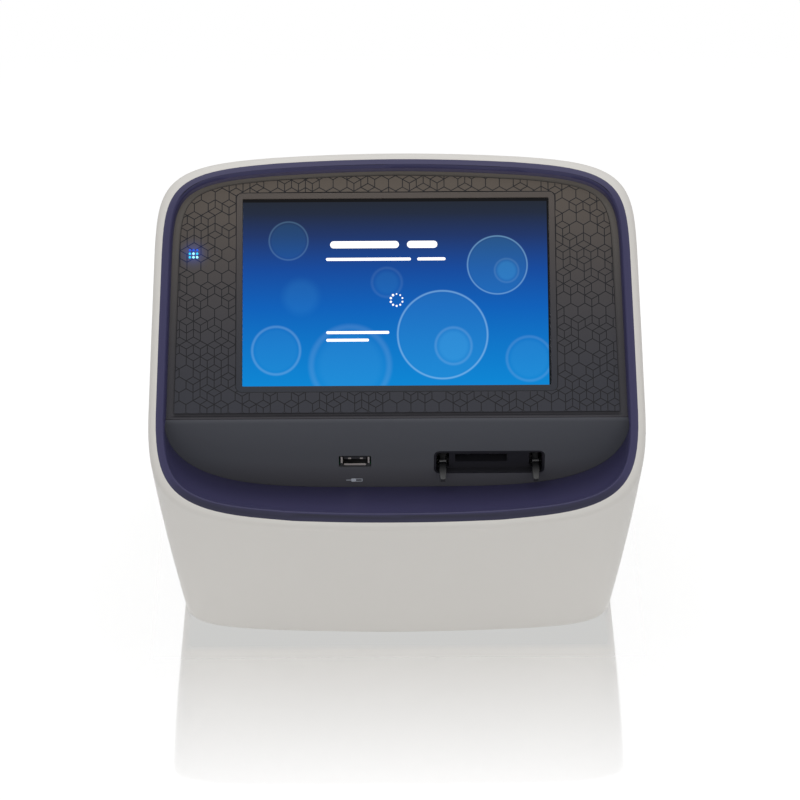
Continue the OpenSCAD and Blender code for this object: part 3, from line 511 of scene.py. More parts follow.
def plastic(name, colour, roughness, grain=2200.0, relief=0.15, drift=0.04, lift=0.06, dust=0.03,
            specular=0.5, panel=None, high=None, lip=None, spill=False):
    """Moulded plastic with a fine texture. It may have painted light and shade: other tones low down, high
    up or at a lip, and a painted glow of the status light.
    """
    made, tree, shader = new_material(name)
    body = place_group(tree, MOULDED, Colour=colour, Grain_Size=grain, Drift=drift, Roughness=roughness)
    # painted light: a paler, warmer tone towards the top of the face, and the port panel's painted light
    # below the crease
    if high:
        tone = place_group(tree, PAINTED_HEIGHT_LIGHT, Panel_Colour=colour, Low_Colour=colour, High_Colour=high)
        tree.links.new(tone.outputs["Colour"], body.inputs["Colour"])
        if panel:
            tree.links.new(painted_panel_light(tree, panel), tone.inputs["Panel Colour"])
    # painted shade and painted light by which way the surface faces
    if lip:
        tone = place_group(tree, PAINTED_LIP_TONES, Colour=colour, Lip_Colour=lip[0], Wall_Colour=lip[1])
        tree.links.new(tone.outputs["Colour"], body.inputs["Colour"])
    # a painted glow of the status light, as emission on the surface
    if spill:
        lamp = place_group(tree, SPILL, Middle=face_point(light_x, light_v, -bezel_sink),
                           Reach=spill_reach * MM)
        tree.links.new(mix_colours(tree, lamp.outputs["Share"], (0, 0, 0, 1), (0.0, 0.035, 0.30, 1)),
                       shader.inputs["Emission Color"])
        shader.inputs["Emission Strength"].default_value = 1.0
    worn = place_group(tree, WORN, Edge_Lift=lift, Dust=dust)
    tree.links.new(body.outputs["Colour"], worn.inputs["Colour"])
    tree.links.new(worn.outputs["Colour"], shader.inputs["Base Color"])
    tree.links.new(body.outputs["Roughness"], shader.inputs["Roughness"])
    bump_in(tree, shader, body.outputs["Height"], relief, 0.0001)
    shader.inputs["Specular IOR Level"].default_value = specular
    return made


def metal(name, colour, roughness, stretch=(1.0, 1.0, 0.05), share=1.0):
    """Metal with the lines of its making: a share under 1 is a dull plating."""
    made, tree, shader = new_material(name)
    lines = place_group(tree, DRAWN, Stretch=stretch, Roughness=roughness)
    worn = place_group(tree, WORN, Colour=colour, Edge_Lift=0.08, Dust=0.02)
    tree.links.new(worn.outputs["Colour"], shader.inputs["Base Color"])
    tree.links.new(lines.outputs["Roughness"], shader.inputs["Roughness"])
    bump_in(tree, shader, lines.outputs["Height"], 0.1, 0.00005)
    shader.inputs["Metallic"].default_value = share
    return made


def circuit(name, colour):
    """Solder mask over copper tracks, with a scatter of pads."""
    made, tree, shader = new_material(name)
    place = object_place(tree)
    tracks = add(tree, "ShaderNodeTexBrick", Scale=320.0, Mortar_Size=0.03, Brick_Width=0.7,
                 Row_Height=0.22, offset=0.37)
    tree.links.new(place, tracks.inputs["Vector"])
    tracks.inputs["Color1"].default_value = colour
    tracks.inputs["Color2"].default_value = tuple(0.85 * c for c in colour[:3]) + (1,)
    tracks.inputs["Mortar"].default_value = tuple(1.5 * c for c in colour[:3]) + (1,)
    pads = add(tree, "ShaderNodeTexVoronoi", Scale=260.0)
    tree.links.new(place, pads.inputs["Vector"])
    spot = map_range(tree, pads.outputs["Distance"], From_Min=0.16, From_Max=0.12)
    tree.links.new(mix_colours(tree, spot, tracks.outputs["Color"], srgb(196, 170, 96)),
                   shader.inputs["Base Color"])
    shader.inputs["Roughness"].default_value = 0.3
    bump_in(tree, shader, tracks.outputs["Fac"], 0.2, 0.00005)
    return made


def clear_glass(name):
    """Ground optical glass with the faintest smear."""
    made, tree, shader = new_material(name)
    smear = noise(tree, Scale=60.0, Detail=3.0)
    tree.links.new(map_range(tree, smear, To_Min=0.02, To_Max=0.06), shader.inputs["Roughness"])
    shader.inputs["Base Color"].default_value = srgb(238, 244, 248)
    shader.inputs["Transmission Weight"].default_value = 1.0
    shader.inputs["IOR"].default_value = 1.52
    return made


SHELL = plastic("shell_white", srgb(221, 218, 213), 0.48, relief=0.1, drift=0.015, lift=0.0, dust=0.0)
# the violet's lip tones: painted shade on the bead's front, and painted light on walls that face down
VIOLET = plastic("trim_violet", srgb(58, 56, 90), 0.45, relief=0.1, lift=0.02, dust=0.01, specular=0.25,
                lip=(srgb(24, 24, 46), srgb(88, 84, 112)))
# the slate's high tone is painted light towards the top; its panel tones are painted light on the port
# panel, with a painted highlight at the crease
SLATE = plastic("bezel_slate", srgb(57, 56, 61), 0.5, relief=0.12, lift=0.0, dust=0.0, specular=0.3,
                high=srgb(118, 112, 104),
                panel=((0.0, srgb(98, 98, 102)), (0.35, srgb(92, 94, 99)), (0.80, srgb(86, 88, 94)),
                       (0.93, srgb(84, 86, 92)), (1.0, srgb(100, 102, 108))))
# the high tones of the border and the film are painted light towards the top; the spill on the film and the
# ink is a painted glow of the status light
BORDER = plastic("border_slate", srgb(36, 39, 48), 0.5, relief=0.12, lift=0.0, dust=0.0, specular=0.3,
                 high=srgb(88, 80, 74))
FILM = plastic("overlay_film", srgb(43, 44, 52), 0.52, grain=3000.0, relief=0.08, lift=0.0, dust=0.0,
               specular=0.3, high=srgb(94, 85, 76), spill=True)
INK = plastic("pattern_ink", srgb(22, 22, 26), 0.5, grain=3000.0, relief=0.05, lift=0.0, dust=0.0,
              specular=0.2, spill=True)
TRAY = plastic("tray_slate", srgb(40, 40, 45), 0.46, relief=0.12, lift=0.0, dust=0.0, specular=0.3)
ARMS = plastic("carriage_grey", srgb(22, 23, 25), 0.32, relief=0.1, lift=0.1, dust=0.0, specular=0.35)
BLACK = plastic("soft_black", srgb(30, 30, 33), 0.45)
PALE = plastic("pale_plastic", srgb(206, 207, 210), 0.4)
PRINT = plastic("printed_grey", srgb(232, 238, 244), 0.6, relief=0.05, lift=0.0, dust=0.0)
STONE = plastic("base_grey", srgb(186, 186, 183), 0.55, grain=1500.0, relief=0.3)
RUBBER = plastic("rubber_black", srgb(26, 26, 27), 0.8, grain=1200.0, relief=0.3, specular=0.3)
FOAM = plastic("gasket_foam", srgb(22, 22, 24), 0.9, grain=900.0, relief=0.5, specular=0.2)
ALLOY = metal("machined_alloy", srgb(178, 180, 184), 0.34)
STEEL = metal("bright_steel", srgb(208, 208, 210), 0.22, stretch=(1.0, 0.08, 1.0))
# tin plate for the socket's bright plates, which are painted highlights
TINPLATE = metal("tin_plate", srgb(214, 206, 196), 0.45, stretch=(1.0, 0.2, 1.0), share=0.5)
# the front socket's steel painted dark, as painted shade inside the socket
PAINTED_SHADE_STEEL = metal("steel_painted_dark", srgb(34, 33, 34), 0.5, stretch=(1.0, 0.2, 1.0), share=0.5)
BRASS = metal("turned_brass", srgb(200, 166, 92), 0.26)
BOARD = circuit("circuit_green", srgb(24, 92, 54))
GLASS = clear_glass("lens_glass")


# ---- The lit screen: a blue field with soft discs, under clear glass ----

def screen_coordinates(tree):
    """Coordinates on the screen: across and up from its middle, from -1 to 1 at its edges."""
    turn = add(tree, "ShaderNodeMapping", vector_type="TEXTURE")
    turn.inputs["Location"].default_value = face_point(0, screen_v, 0)
    turn.inputs["Rotation"].default_value = (math.radians(90 - face_lean), 0, 0)
    turn.inputs["Scale"].default_value = (screen_w / 2 * MM, screen_h / 2 * MM, 1.0)
    tree.links.new(object_place(tree), turn.inputs["Vector"])
    return turn.outputs[0]


def disc_effect():
    """A soft disc with a thin bright rim, as a mask for its body and one for its rim."""
    group, start, end = new_group(
        "soft_disc",
        [("Place", "NodeSocketVector", None), ("Centre", "NodeSocketVector", (0, 0, 0)),
         ("Size", "NodeSocketVector", (1, 1, 1)), ("Softness", "NodeSocketFloat", 0.1)],
        [("Body", "NodeSocketFloat"), ("Rim", "NodeSocketFloat")])
    away = add(group, "ShaderNodeVectorMath", operation="SUBTRACT")
    group.links.new(start.outputs["Place"], away.inputs[0])
    group.links.new(start.outputs["Centre"], away.inputs[1])
    share = add(group, "ShaderNodeVectorMath", operation="DIVIDE")
    group.links.new(away.outputs[0], share.inputs[0])
    group.links.new(start.outputs["Size"], share.inputs[1])
    length = add(group, "ShaderNodeVectorMath", operation="LENGTH")
    group.links.new(share.outputs[0], length.inputs[0])
    inside = add(group, "ShaderNodeMapRange", interpolation_type="SMOOTHSTEP", To_Min=1.0, To_Max=0.0)
    group.links.new(length.outputs["Value"], inside.inputs["Value"])
    group.links.new(math_node(group, "SUBTRACT", 1.0, start.outputs["Softness"]), inside.inputs["From Min"])
    group.links.new(inside.outputs[0], end.inputs["Body"])
    off = math_node(group, "ABSOLUTE", math_node(group, "SUBTRACT", length.outputs["Value"], 0.97))
    line = add(group, "ShaderNodeMapRange", interpolation_type="SMOOTHSTEP", To_Min=1.0, To_Max=0.0)
    group.links.new(off, line.inputs["Value"])
    group.links.new(math_node(group, "MULTIPLY", start.outputs["Softness"], 0.35), line.inputs["From Max"])
    group.links.new(line.outputs[0], end.inputs["Rim"])
    return group


def screen_picture():
    made, tree, shader = new_material("screen_picture")
    at = screen_coordinates(tree)
    across_up = parts_of(tree, at)
    picture = ramp(tree, map_range(tree, across_up["Y"], From_Min=-1.0, From_Max=1.0),
                   ((0.0, srgb(6, 134, 212)), (0.22, srgb(8, 117, 200)), (0.42, srgb(10, 96, 185)),
                    (0.62, srgb(20, 74, 156)), (0.8, srgb(32, 54, 104)), (0.92, srgb(35, 44, 64)),
                    (1.0, srgb(36, 41, 50))))
    discs = (
        # centre across and up, half width and height, softness, body and rim strength
        (-0.62, -0.05, 0.15, 0.24, 0.5, 0.10, 0.0),
        (-0.30, -0.78, 0.26, 0.42, 0.35, 0.16, 0.10),
        (-0.78, -0.62, 0.16, 0.26, 0.25, 0.12, 0.22),
        (0.66, 0.28, 0.20, 0.32, 0.12, 0.14, 0.40),
        (0.72, 0.22, 0.08, 0.13, 0.40, 0.25, 0.10),
        (0.30, -0.46, 0.30, 0.48, 0.10, 0.14, 0.46),
        (0.37, -0.58, 0.12, 0.20, 0.35, 0.30, 0.16),
        (0.86, -0.72, 0.15, 0.24, 0.30, 0.16, 0.12),
        (-0.06, 0.10, 0.10, 0.16, 0.45, 0.10, 0.06),
        (-0.70, 0.55, 0.13, 0.21, 0.20, 0.07, 0.14),
    )
    disc = disc_effect()
    for across, up, half_w, half_h, softness, strength, rim in discs:
        one = place_group(tree, disc, Centre=(across, up, 0), Size=(half_w, half_h, 1000.0),
                          Softness=softness)
        tree.links.new(at, one.inputs["Place"])
        picture = mix_colours(tree, math_node(tree, "MULTIPLY", one.outputs["Body"], strength),
                              picture, srgb(70, 170, 236))
        picture = mix_colours(tree, math_node(tree, "MULTIPLY", one.outputs["Rim"], rim),
                              picture, srgb(150, 208, 250))
    # black border of the panel: wide at the top, narrow at the right
    top = math_node(tree, "LESS_THAN", across_up["Y"], 1 - 2 * top_border / screen_h)
    right = math_node(tree, "LESS_THAN", across_up["X"], 1 - 2 * right_border / screen_w)
    lit = math_node(tree, "MULTIPLY", top, right)
    picture = mix_colours(tree, lit, srgb(20, 20, 22), picture)
    shader.inputs["Base Color"].default_value = (0.0, 0.0, 0.0, 1)
    tree.links.new(picture, shader.inputs["Emission Color"])
    shader.inputs["Emission Strength"].default_value = 1.0
    smear = add(tree, "ShaderNodeTexNoise", Scale=70.0, Detail=3.0)
    tree.links.new(at, smear.inputs["Vector"])
    tree.links.new(map_range(tree, smear.outputs["Fac"], To_Min=0.06, To_Max=0.14),
                   shader.inputs["Roughness"])
    shader.inputs["Specular IOR Level"].default_value = 0.04
    return made


def glow(name, colour, strength):
    """A lit piece, a little uneven."""
    made, tree, shader = new_material(name)
    level = map_range(tree, noise(tree, Scale=400.0), To_Min=0.92, To_Max=1.0)
    tree.links.new(mix_colours(tree, level, tuple(0.8 * c for c in colour[:3]) + (1,), colour),
                   shader.inputs["Emission Color"])
    shader.inputs["Emission Strength"].default_value = strength
    shader.inputs["Base Color"].default_value = tuple(0.3 * c for c in colour[:3]) + (1,)
    shader.inputs["Roughness"].default_value = 0.25
    return made


SCREEN = screen_picture()
WHITE_GLOW = glow("screen_white", (1.0, 1.0, 1.0, 1), 1.0)
PALE_CYAN = glow("light_bright", (0.35, 0.95, 1.0, 1), 1.3)
CYAN = glow("light_middle", (0.03, 0.55, 0.95, 1), 1.1)
DIM_BLUE = glow("light_dim", (0.0, 0.07, 0.62, 1), 1.0)


# ---- Pieces seen on the outside ----

dress("main_housing", "moulded_shell", SHELL, flat=False, turn=38, bow=True)
dress("trim_ring", "violet_trim", VIOLET, flat=False, turn=38, bow=True)
dress("front_bezel", "face_bezel", SLATE, edge=0.35, bow=True)
film = dress("pattern_overlay", "face_film", FILM, edge=0.08, bow=True)
dress("screen_frame", "screen_border", BORDER, edge=0.3)
dress("touch_glass", "screen_glass", SCREEN, edge=0.1)
dress("slide_port_insert", "port_tray", TRAY, edge=0.25)
dress("slide_carriage", "slide_arms", ARMS, edge=0.35)
# its steel painted dark: painted shade inside the socket
dress("usb_socket_shell", "usb_sleeve", PAINTED_SHADE_STEEL, edge=0.12)
dress("usb_socket_tongue", "usb_tongue", BLACK, edge=0.15)
dress("base_plate", "underside_plate", STONE, edge=0.2, bow=True)
dress("rubber_feet", "bench_feet", RUBBER, edge=0.5)
dress("rear_panel", "back_panel", STONE, edge=0.3)
dress("status_light_pipe", "status_light", DIM_BLUE, edge=0.06)
dress("power_jack", "power_inlet", BLACK, edge=0.3)
dress("switch_body", "switch_surround", BLACK, edge=0.3)
rocker = dress("power_rocker", "switch_rocker", BLACK, edge=0.4)
springs = dress("carriage_springs", "return_springs", STEEL, flat=False)
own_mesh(springs)
dress("rear_usb_shell", "back_usb_sleeve", STEEL, edge=0.12)
dress("rear_usb_tongue", "back_usb_tongue", BLACK, edge=0.15)


# ---- Line pattern of the film: hexagons, some of them drawn as cubes ----

hex_side = 3.97
hex_pitch = math.sqrt(3) * hex_side
row_step = 1.5 * hex_side
line_w = 0.42
columns = 36
row_pairs = 14
pattern_middle = 126.0      # up the face
pattern_half = (114.0, 74.0)   # half the width and height that the film shows
hole_margin = 6.0           # how far the sheet goes on under the screen's border
line_depth = 0.3
pattern_seed = 27
below_share = 0.46          # hexagons that are cubes seen from below
above_share = 0.16          # and seen from above


def hexagon_sheet():
    """One hexagon, repeated in two offset rows and then up the face."""
    bpy.ops.mesh.primitive_circle_add(vertices=6, radius=hex_side * MM, fill_type="NGON")
    sheet = bpy.context.object
    modify(sheet, "ARRAY", count=columns, use_relative_offset=False, use_constant_offset=True,
           constant_offset_displace=(hex_pitch * MM, 0, 0))
    take(sheet)
    bpy.ops.object.duplicate()
    second = bpy.context.object
    second.location = (hex_pitch / 2 * MM, row_step * MM, 0)
    bpy.ops.object.transform_apply(location=True)
    join([sheet, second], "hexagon_sheet")
    modify(sheet, "ARRAY", count=row_pairs, use_relative_offset=False, use_constant_offset=True,
           constant_offset_displace=(0, 2 * row_step * MM, 0))
    edit(sheet)
    bpy.ops.mesh.select_all(action="SELECT")
    bpy.ops.mesh.remove_doubles(threshold=0.00002)
    rest_tools()
    middle = Vector((-(columns - 1) * hex_pitch / 2, -(2 * row_pairs - 1) * row_step / 2, 0)) * MM
    settle(sheet, Matrix.Translation(middle))
    return sheet


def keep_near_film(sheet):
    """Drops the hexagons that the film never shows."""
    half = Vector((*pattern_half, 0)) * MM
    hole_w, hole_h = (screen_w / 2 - hole_margin) * MM, (screen_h / 2 - hole_margin) * MM
    hole_up = (screen_v - pattern_middle) * MM

    def outside(middle, normal):
        in_hole = abs(middle.x) < hole_w and abs(middle.y - hole_up) < hole_h
        return in_hole or abs(middle.x) > half.x or abs(middle.y) > half.y

    edit(sheet)
    pick_faces(sheet, outside)
    bpy.ops.mesh.delete(type="FACE")
    rest_tools()


def cell(place):
    """The hexagon that a place is the middle of, as its half column and its row."""
    return round(place.x / (hex_pitch / 2 * MM)), round(place.y / (row_step * MM) + 0.5)


def draw_cubes(sheet, seed):
    """Draws three spokes in some hexagons, which makes each a cube, seen from above or below."""
    chance = random.Random(seed)
    kinds = {}
    for face in sheet.data.polygons:
        roll = chance.random()
        above = roll < below_share + above_share
        kinds[cell(face.center)] = "below" if roll < below_share else "above" if above else "plain"
    corners = len(sheet.data.vertices)
    edit(sheet)
    pick_faces(sheet, lambda middle, normal: kinds[cell(middle)] != "plain")
    bpy.ops.mesh.poke()
    bpy.ops.object.mode_set(mode="OBJECT")
    points = sheet.data.vertices
    spare = set()
    for line in sheet.data.edges:
        hub, rim = max(line.vertices), min(line.vertices)
        if hub < corners:
            continue
        reach = points[rim].co - points[hub].co
        turn = math.degrees(math.atan2(reach.x, -reach.y)) % 120
        down = min(turn, 120 - turn) < 20
        if down != (kinds[cell(points[hub].co)] == "below"):
            spare.add(line.index)
    edit(sheet)
    bpy.ops.mesh.select_mode(type="EDGE")
    bpy.ops.object.mode_set(mode="OBJECT")
    for line in sheet.data.edges:
        line.select = line.index in spare
    bpy.ops.object.mode_set(mode="EDIT")
    bpy.ops.mesh.dissolve_edges(use_verts=False)
    rest_tools()


def cut_lines(sheet, width, depth):
    """Leaves only a line along each edge of the sheet, and gives the lines their depth."""
    edit(sheet)
    bpy.ops.mesh.select_mode(type="FACE")
    bpy.ops.mesh.select_all(action="SELECT")
    bpy.ops.mesh.inset(thickness=width / 2 * MM, depth=0, use_individual=True, use_boundary=True)
    bpy.ops.mesh.delete(type="FACE")
    rest_tools()
    modify(sheet, "SOLIDIFY", thickness=depth * MM, offset=0.0, use_rim=True)


def pattern_lines():
    sheet = hexagon_sheet()
    keep_near_film(sheet)
    draw_cubes(sheet, pattern_seed)
    cut_lines(sheet, line_w, line_depth)
    settle(sheet, face_matrix(0, pattern_middle, -bezel_sink - 0.1))
    take(film)
    bpy.ops.object.duplicate()
    mould = bpy.context.object
    mould.parent = None
    settle(mould, Matrix.Translation(face_point(0, 0, 0.04) - face_point(0, 0, 0)))
    modify(sheet, "BOOLEAN", operation="INTERSECT", object=mould, solver="EXACT")
    bpy.data.objects.remove(mould)
    finish(sheet, "film_pattern", "instrument", INK)
    return sheet


pattern_lines()


# ---- The dark bead round the film, and round the screen's border ----

def film_seal():
    """A thin bead that follows the edges of the film, but for those round the status light."""
    seal = welded_copy("pattern_overlay")
    round_middle(seal)
    top = (face_point(0, 0, 1) - face_point(0, 0, 0)).normalized()
    level = face_point(0, 0, -bezel_sink - 0.1).dot(top)
    edit(seal)
    pick_faces(seal, lambda middle, normal: normal.dot(top) < 0.99 or middle.dot(top) < level)
    bpy.ops.mesh.delete(type="FACE")
    bpy.ops.mesh.select_all(action="SELECT")
    bpy.ops.mesh.region_to_loop()
    bpy.ops.mesh.select_all(action="INVERT")
    bpy.ops.mesh.delete(type="EDGE")
    bpy.ops.mesh.select_mode(type="VERT")
    bpy.ops.mesh.select_all(action="DESELECT")
    bpy.ops.object.mode_set(mode="OBJECT")
    lamp = face_point(light_x, light_v, -bezel_sink)
    for vertex in seal.data.vertices:
        vertex.select = (vertex.co - lamp).length < 5 * MM
    bpy.ops.object.mode_set(mode="EDIT")
    bpy.ops.mesh.delete(type="VERT")
    rest_tools()
    take(seal)
    bpy.ops.object.convert(target="CURVE")
    seal.data.bevel_depth = seal_r * MM
    seal.data.bevel_resolution = 1
    bpy.ops.object.convert(target="MESH")
    sink = face_point(0, 0, -seal_r) - face_point(0, 0, 0)
    settle(seal, Matrix.Translation(sink))
    return finish(seal, "film_bead", "instrument", INK)


film_seal()


# ---- Small marks: lit lenses, the picture's bars and ring, the print on the panel, and painted highlights in the socket ----

def flat_mark(width, height, place, thick=0.06, round_ends=True):
    """A thin plate with round ends, modelled on the floor plane and put in its place."""
    bpy.ops.mesh.primitive_plane_add(size=1.0)
    mark = bpy.context.object
    mark.scale = (width * MM, height * MM, 1)
    bpy.ops.object.transform_apply(scale=True)
    share = 0.49 if round_ends else 0.2
    edit(mark)
    bpy.ops.mesh.select_all(action="SELECT")
    bpy.ops.mesh.bevel(offset=share * min(width, height) * MM, segments=5, affect="VERTICES")
    rest_tools()
    modify(mark, "SOLIDIFY", thickness=thick * MM, offset=0.0)
    settle(mark, place)
    return mark


def lens_cap(place):
    """A low dome over one light."""
    bpy.ops.mesh.primitive_cylinder_add(vertices=20, radius=light_r * MM, depth=lens_h * MM)
    cap = bpy.context.object
    edit(cap)
    pick_faces(cap, lambda middle, normal: normal.z > 0.9)
    bpy.ops.mesh.bevel(offset=lens_edge * MM, segments=3)
    rest_tools()
    settle(cap, place)
    return cap


def status_lenses():
    """Two rows of the status light are lit, and the middle ones are the brightest."""
    rows = ((0, (CYAN, PALE_CYAN, CYAN)), (-1, (CYAN, PALE_CYAN, PALE_CYAN)))
    lit = {CYAN: [], PALE_CYAN: []}
    for row, row_kinds in rows:
        for column, kind in enumerate(row_kinds):
            across = light_x + (column - 1) * light_pitch
            lit[kind].append(lens_cap(face_matrix(across, light_v + row * light_pitch, -bezel_sink + 0.1)))
    for kind, name in ((CYAN, "lenses_lit"), (PALE_CYAN, "lenses_bright")):
        finish(join(lit[kind], name), name, "instrument", kind)


def screen_marks():
    """Plain bars where a heading and a footer would be, and a ring of dots between them."""
    out = -glass_sink + 0.03
    # across, up, width and height
    bars = ((-15.5, 139.6, 34.0, 3.6), (13.0, 139.6, 15.0, 3.6), (-13.6, 132.2, 42.0, 1.5),
            (17.5, 132.2, 14.0, 1.5), (-19.0, 95.2, 31.0, 1.4), (-24.0, 91.4, 21.0, 1.4))
    ring_across, ring_up, ring_r, dots = 0.2, 111.5, 3.0, 10
    marks = [flat_mark(width, height, face_matrix(across, up, out)) for across, up, width, height in bars]
    for step in range(dots):
        turn = math.radians(360 / dots * step)
        size = 0.75 + 0.05 * step
        place = face_matrix(ring_across + ring_r * math.sin(turn), ring_up + ring_r * math.cos(turn), out)
        marks.append(flat_mark(size, size, place))
    return finish(join(marks, "screen_marks"), "screen_marks", "instrument", WHITE_GLOW)


def panel_marks(rows, height, out, thick, name, material):
    """Plates on the port panel, each given as its place by the socket, its size and its round ends."""
    marks = [flat_mark(w, h, panel_matrix(usb_x + across, height + up, out + deep), thick, round_ends)
             for across, up, deep, w, h, round_ends in rows]
    return finish(join(marks, name), name, "instrument", material)


def plug_sign():
    """A printed plug: its lead, its grip and its open metal end."""
    rows = ((-3.2, 0, 0, 2.6, 0.4, True), (-0.8, 0, 0, 2.4, 2.1, False), (1.9, -0.75, 0, 3.1, 0.35, True),
            (1.9, 0.75, 0, 3.1, 0.35, True), (3.4, 0, 0, 0.35, 1.85, True))
    return panel_marks(rows, sign_z, 0.01, 0.04, "plug_sign", PRINT)


def usb_painted_highlights():
    """The plated springs at both sides, the lip below them, and two contacts on the tongue, as bright
    plates: real parts whose brightness is a painted highlight, over the shell painted dark.
    """
    rows = ((-6.55, 0.8, 0, 0.85, 3.9, False), (6.75, 0.8, 0, 0.85, 3.9, False),
            (0, -2.05, 0, 10.8, 1.0, False), (-2.65, 0.8, -1.2, 1.5, 0.75, False),
            (3.2, 0.8, -1.2, 1.5, 0.75, False))
    return panel_marks(rows, usb_z, -0.5, 0.2, "usb_painted_highlights", TINPLATE)


def rocker_marks():
    """The bar and the ring on the two faces of the rocker."""
    faces = sorted(rocker.data.polygons, key=lambda face: face.area * (face.normal.y > 0.9))[-2:]
    marks = []
    for face in sorted(faces, key=lambda face: face.center.x):
        side = Vector((0, 0, 1)).cross(face.normal).normalized()
        up = face.normal.cross(side)
        place = Matrix.Translation(face.center) @ Matrix((side, up, face.normal)).transposed().to_4x4()
        if marks:
            bpy.ops.mesh.primitive_torus_add(major_segments=28, minor_segments=6, major_radius=1.1 * MM,
                                             minor_radius=0.2 * MM)
            ring = bpy.context.object
            ring.scale.z = 0.3
            settle(ring, place)
            marks.append(ring)
        else:
            marks.append(flat_mark(0.4, 2.6, place, 0.08))
    return finish(join(marks, "rocker_marks"), "rocker_marks", "rocker", PRINT)


rocker_marks()
status_lenses()
screen_marks()
plug_sign()
usb_painted_highlights()


# ---- Pieces inside, which keep the nodes' shapes ----

INSIDE = {
    ALLOY: ("display_bracket", "display_panel", "lamp_bracket", "carriage_frame", "focus_carriage",
            "optics_base", "heat_sink", "focus_coupling"),
    STEEL: ("bracket_screws", "carriage_rods", "focus_rods", "focus_screw",
            "frame_screws", "board_screws", "base_screws", "panel_screws", "backup_cell"),
    BOARD: ("display_driver_board", "status_led_board", "usb_board", "lamp_led_board", "camera_board",
            "main_board"),
    BLACK: ("lamp_housing", "objective_barrel", "camera_tube", "focus_motor", "processor",
            "image_sensor", "board_connectors"),
    PALE: ("display_ribbon",),
    FOAM: ("display_gasket",),
    GLASS: ("condenser_lens", "objective_lens", "tube_lens"),
    BRASS: ("focus_nut",),
}
for material, names in INSIDE.items():
    for name in names:
        node = frame["nodes"][name]
        node.data.materials.clear()
        node.data.materials.append(material)


# ---- Floor, backdrop, lamps and camera ----

mirror_reach = 132.0        # how far from the foot the polish shows a reflection
mirror_share = 0.8          # and how strong it is at the foot
# the strip's even grey is a painted shadow and painted start of the reflection, over the floor's own shadow
strip_reach = 6.0           # an even strip before and behind the foot, where the reflection starts
strip_fade = 4.0            # and the length of its soft edge
floor_lift = 0.42           # what the floor shows the camera beyond the lamps' light
world_level = 0.42          # light from the surroundings


def distance_from_foot(tree, place):
    """How far a place on the floor lies outside the foot of the housing."""
    at = parts_of(tree, place)
    side = math_node(tree, "SUBTRACT", math_node(tree, "ABSOLUTE", at["X"]), base_half * MM)
    front = math_node(tree, "SUBTRACT", base_front * MM, at["Y"])
    back = math_node(tree, "SUBTRACT", at["Y"], base_back * MM)
    return math_node(tree, "MAXIMUM", side, math_node(tree, "MAXIMUM", front, back))


def painted_strip_by_foot(tree, place):
    """1 on the strip of floor before and behind the foot, whose even grey is a painted shadow and painted
    start of the reflection, and 0 away from it.
    """
    at = parts_of(tree, place)
    middle = (base_front + base_back) / 2 * MM
    edge = (base_back - base_front) / 2 + strip_reach
    depth = math_node(tree, "ABSOLUTE", math_node(tree, "SUBTRACT", at["Y"], middle))
    along = map_range(tree, depth, From_Min=edge * MM, From_Max=(edge + strip_fade) * MM,
                      To_Min=1.0, To_Max=0.0)
    across = map_range(tree, math_node(tree, "ABSOLUTE", at["X"]), From_Min=(base_half - strip_fade) * MM,
                       From_Max=base_half * MM, To_Min=1.0, To_Max=0.0)
    return math_node(tree, "MULTIPLY", along, across)


def floor_material():
    """A white floor, polished so that it mirrors what stands on it, less and less with distance, with an
    even grey strip by the foot as painted shadow and painted start of the reflection.
    """
    made, tree, shader = new_material("studio_floor")
    place = object_place(tree)
    cloud = noise(tree, Scale=3.0)
    tree.links.new(mix_colours(tree, cloud, (0.80, 0.80, 0.80, 1), (0.82, 0.82, 0.82, 1)),
                   shader.inputs["Base Color"])
    shader.inputs["Roughness"].default_value = 0.6
    shader.inputs["Specular IOR Level"].default_value = 0.0
    rays = add(tree, "ShaderNodeLightPath")
    seen = math_node(tree, "MAXIMUM", rays.outputs["Is Camera Ray"], rays.outputs["Is Glossy Ray"])
    lift = add(tree, "ShaderNodeEmission", Color=(1, 1, 1, 1))
    tree.links.new(math_node(tree, "MULTIPLY", seen, floor_lift), lift.inputs["Strength"])
    matte = add(tree, "ShaderNodeAddShader")
    tree.links.new(shader.outputs[0], matte.inputs[0])
    tree.links.new(lift.outputs[0], matte.inputs[1])
    mirror = add(tree, "ShaderNodeBsdfGlossy", Roughness=0.05)
    mirror.inputs["Color"].default_value = (1.0, 1.0, 1.0, 1)
    away = distance_from_foot(tree, place)
    reach = map_range(tree, away, From_Max=mirror_reach * MM, To_Min=mirror_share, To_Max=0.0)
    polish = add(tree, "ShaderNodeMixShader")
    tree.links.new(reach, polish.inputs[0])
    tree.links.new(matte.outputs[0], polish.inputs[1])
    tree.links.new(mirror.outputs[0], polish.inputs[2])
    # an even grey glow on the strip: painted shadow and painted start of the reflection, over the floor's
    # own shadow
    even = add(tree, "ShaderNodeEmission", Color=(0.60, 0.60, 0.59, 1), Strength=1.0)
    strip = add(tree, "ShaderNodeMixShader")
    tree.links.new(math_node(tree, "MULTIPLY", seen, painted_strip_by_foot(tree, place)), strip.inputs[0])
    tree.links.new(polish.outputs[0], strip.inputs[1])
    tree.links.new(even.outputs[0], strip.inputs[2])
    far = map_range(tree, away, From_Min=mirror_reach * MM, From_Max=3 * mirror_reach * MM)
    white = add(tree, "ShaderNodeEmission", Color=(1, 1, 1, 1), Strength=1.0)
    bright = add(tree, "ShaderNodeMixShader")
    tree.links.new(math_node(tree, "MULTIPLY", seen, far), bright.inputs[0])
    tree.links.new(strip.outputs[0], bright.inputs[1])
    tree.links.new(white.outputs[0], bright.inputs[2])
    tree.links.new(bright.outputs[0], tree.nodes["Material Output"].inputs["Surface"])
    return made


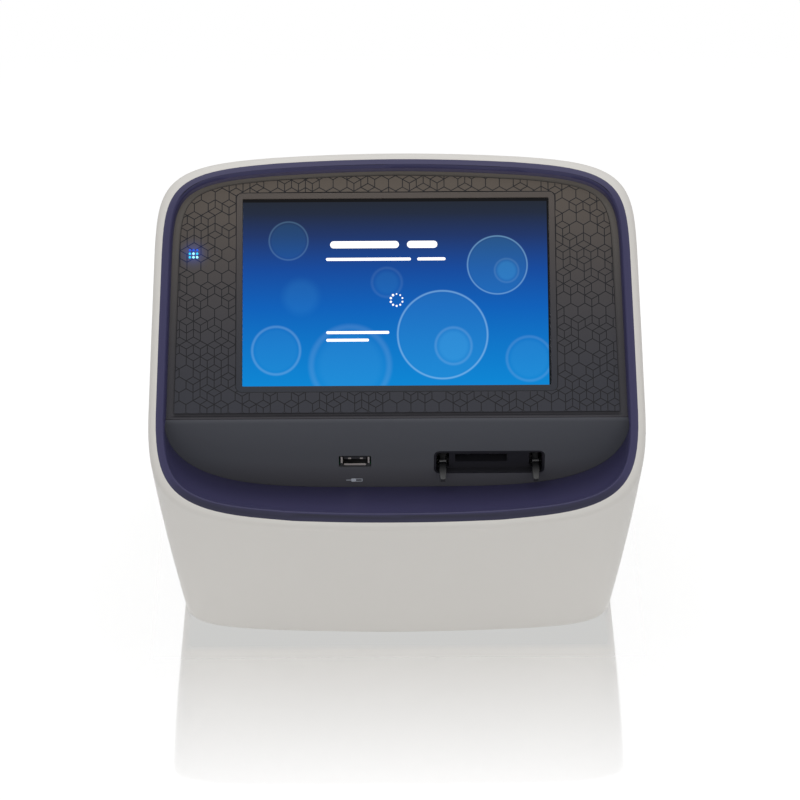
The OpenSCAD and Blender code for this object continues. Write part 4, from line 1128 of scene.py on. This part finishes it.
def studio():
    rest_tools()
    bpy.ops.mesh.primitive_plane_add(size=12.0)
    floor = bpy.context.object
    floor.name = "studio_floor"
    floor.data.materials.append(floor_material())

    world = bpy.data.worlds.new("studio")
    bpy.context.scene.world = world
    world.use_nodes = True
    tree = world.node_tree
    sky = tree.nodes["Background"]
    light = add(tree, "ShaderNodeLightPath")
    seen = math_node(tree, "MAXIMUM", light.outputs["Is Camera Ray"], light.outputs["Is Transmission Ray"])
    seen = math_node(tree, "MAXIMUM", seen, light.outputs["Is Glossy Ray"])
    tree.links.new(map_range(tree, seen, To_Min=world_level, To_Max=1.0), sky.inputs["Strength"])
    sky.inputs["Color"].default_value = (1.0, 1.0, 1.0, 1)

    def lamp(name, place, aim, size, power):
        made = bpy.data.lights.new(name, "AREA")
        made.shape = "RECTANGLE"
        made.size, made.size_y = size
        made.energy = power
        holder = bpy.data.objects.new(name, made)
        bpy.context.scene.collection.objects.link(holder)
        holder.location = place
        holder.rotation_euler = (Vector(aim) - Vector(place)).to_track_quat("-Z", "Y").to_euler()

    lamp("overhead", (0, 0.4, 1.6), (0, 0, 0.1), (2.2, 1.4), 13.0)
    lamp("front_fill", (0, -2.2, 0.9), (0, 0, 0.1), (2.4, 1.2), 11.0)


camera_target = Vector((1.6, -6.02, 110.37)) * MM
camera_distance = 1.450
camera_height = 40.0        # degrees above level
camera_yaw = -0.139
camera_roll = -0.26
camera_lens = 130.83


def camera():
    made = bpy.data.cameras.new("camera")
    made.sensor_width = 36.0
    made.lens = camera_lens
    made.clip_start = 0.05
    holder = bpy.data.objects.new("camera", made)
    bpy.context.scene.collection.objects.link(holder)
    turn = (Matrix.Rotation(math.radians(camera_yaw), 4, "Z")
            @ Matrix.Rotation(math.radians(90 - camera_height), 4, "X")
            @ Matrix.Rotation(math.radians(camera_roll), 4, "Z"))
    away = turn @ Vector((0, 0, camera_distance))
    holder.matrix_world = Matrix.Translation(camera_target + away) @ turn
    bpy.context.scene.camera = holder


studio()
camera()
bpy.context.scene.view_settings.view_transform = "Standard"
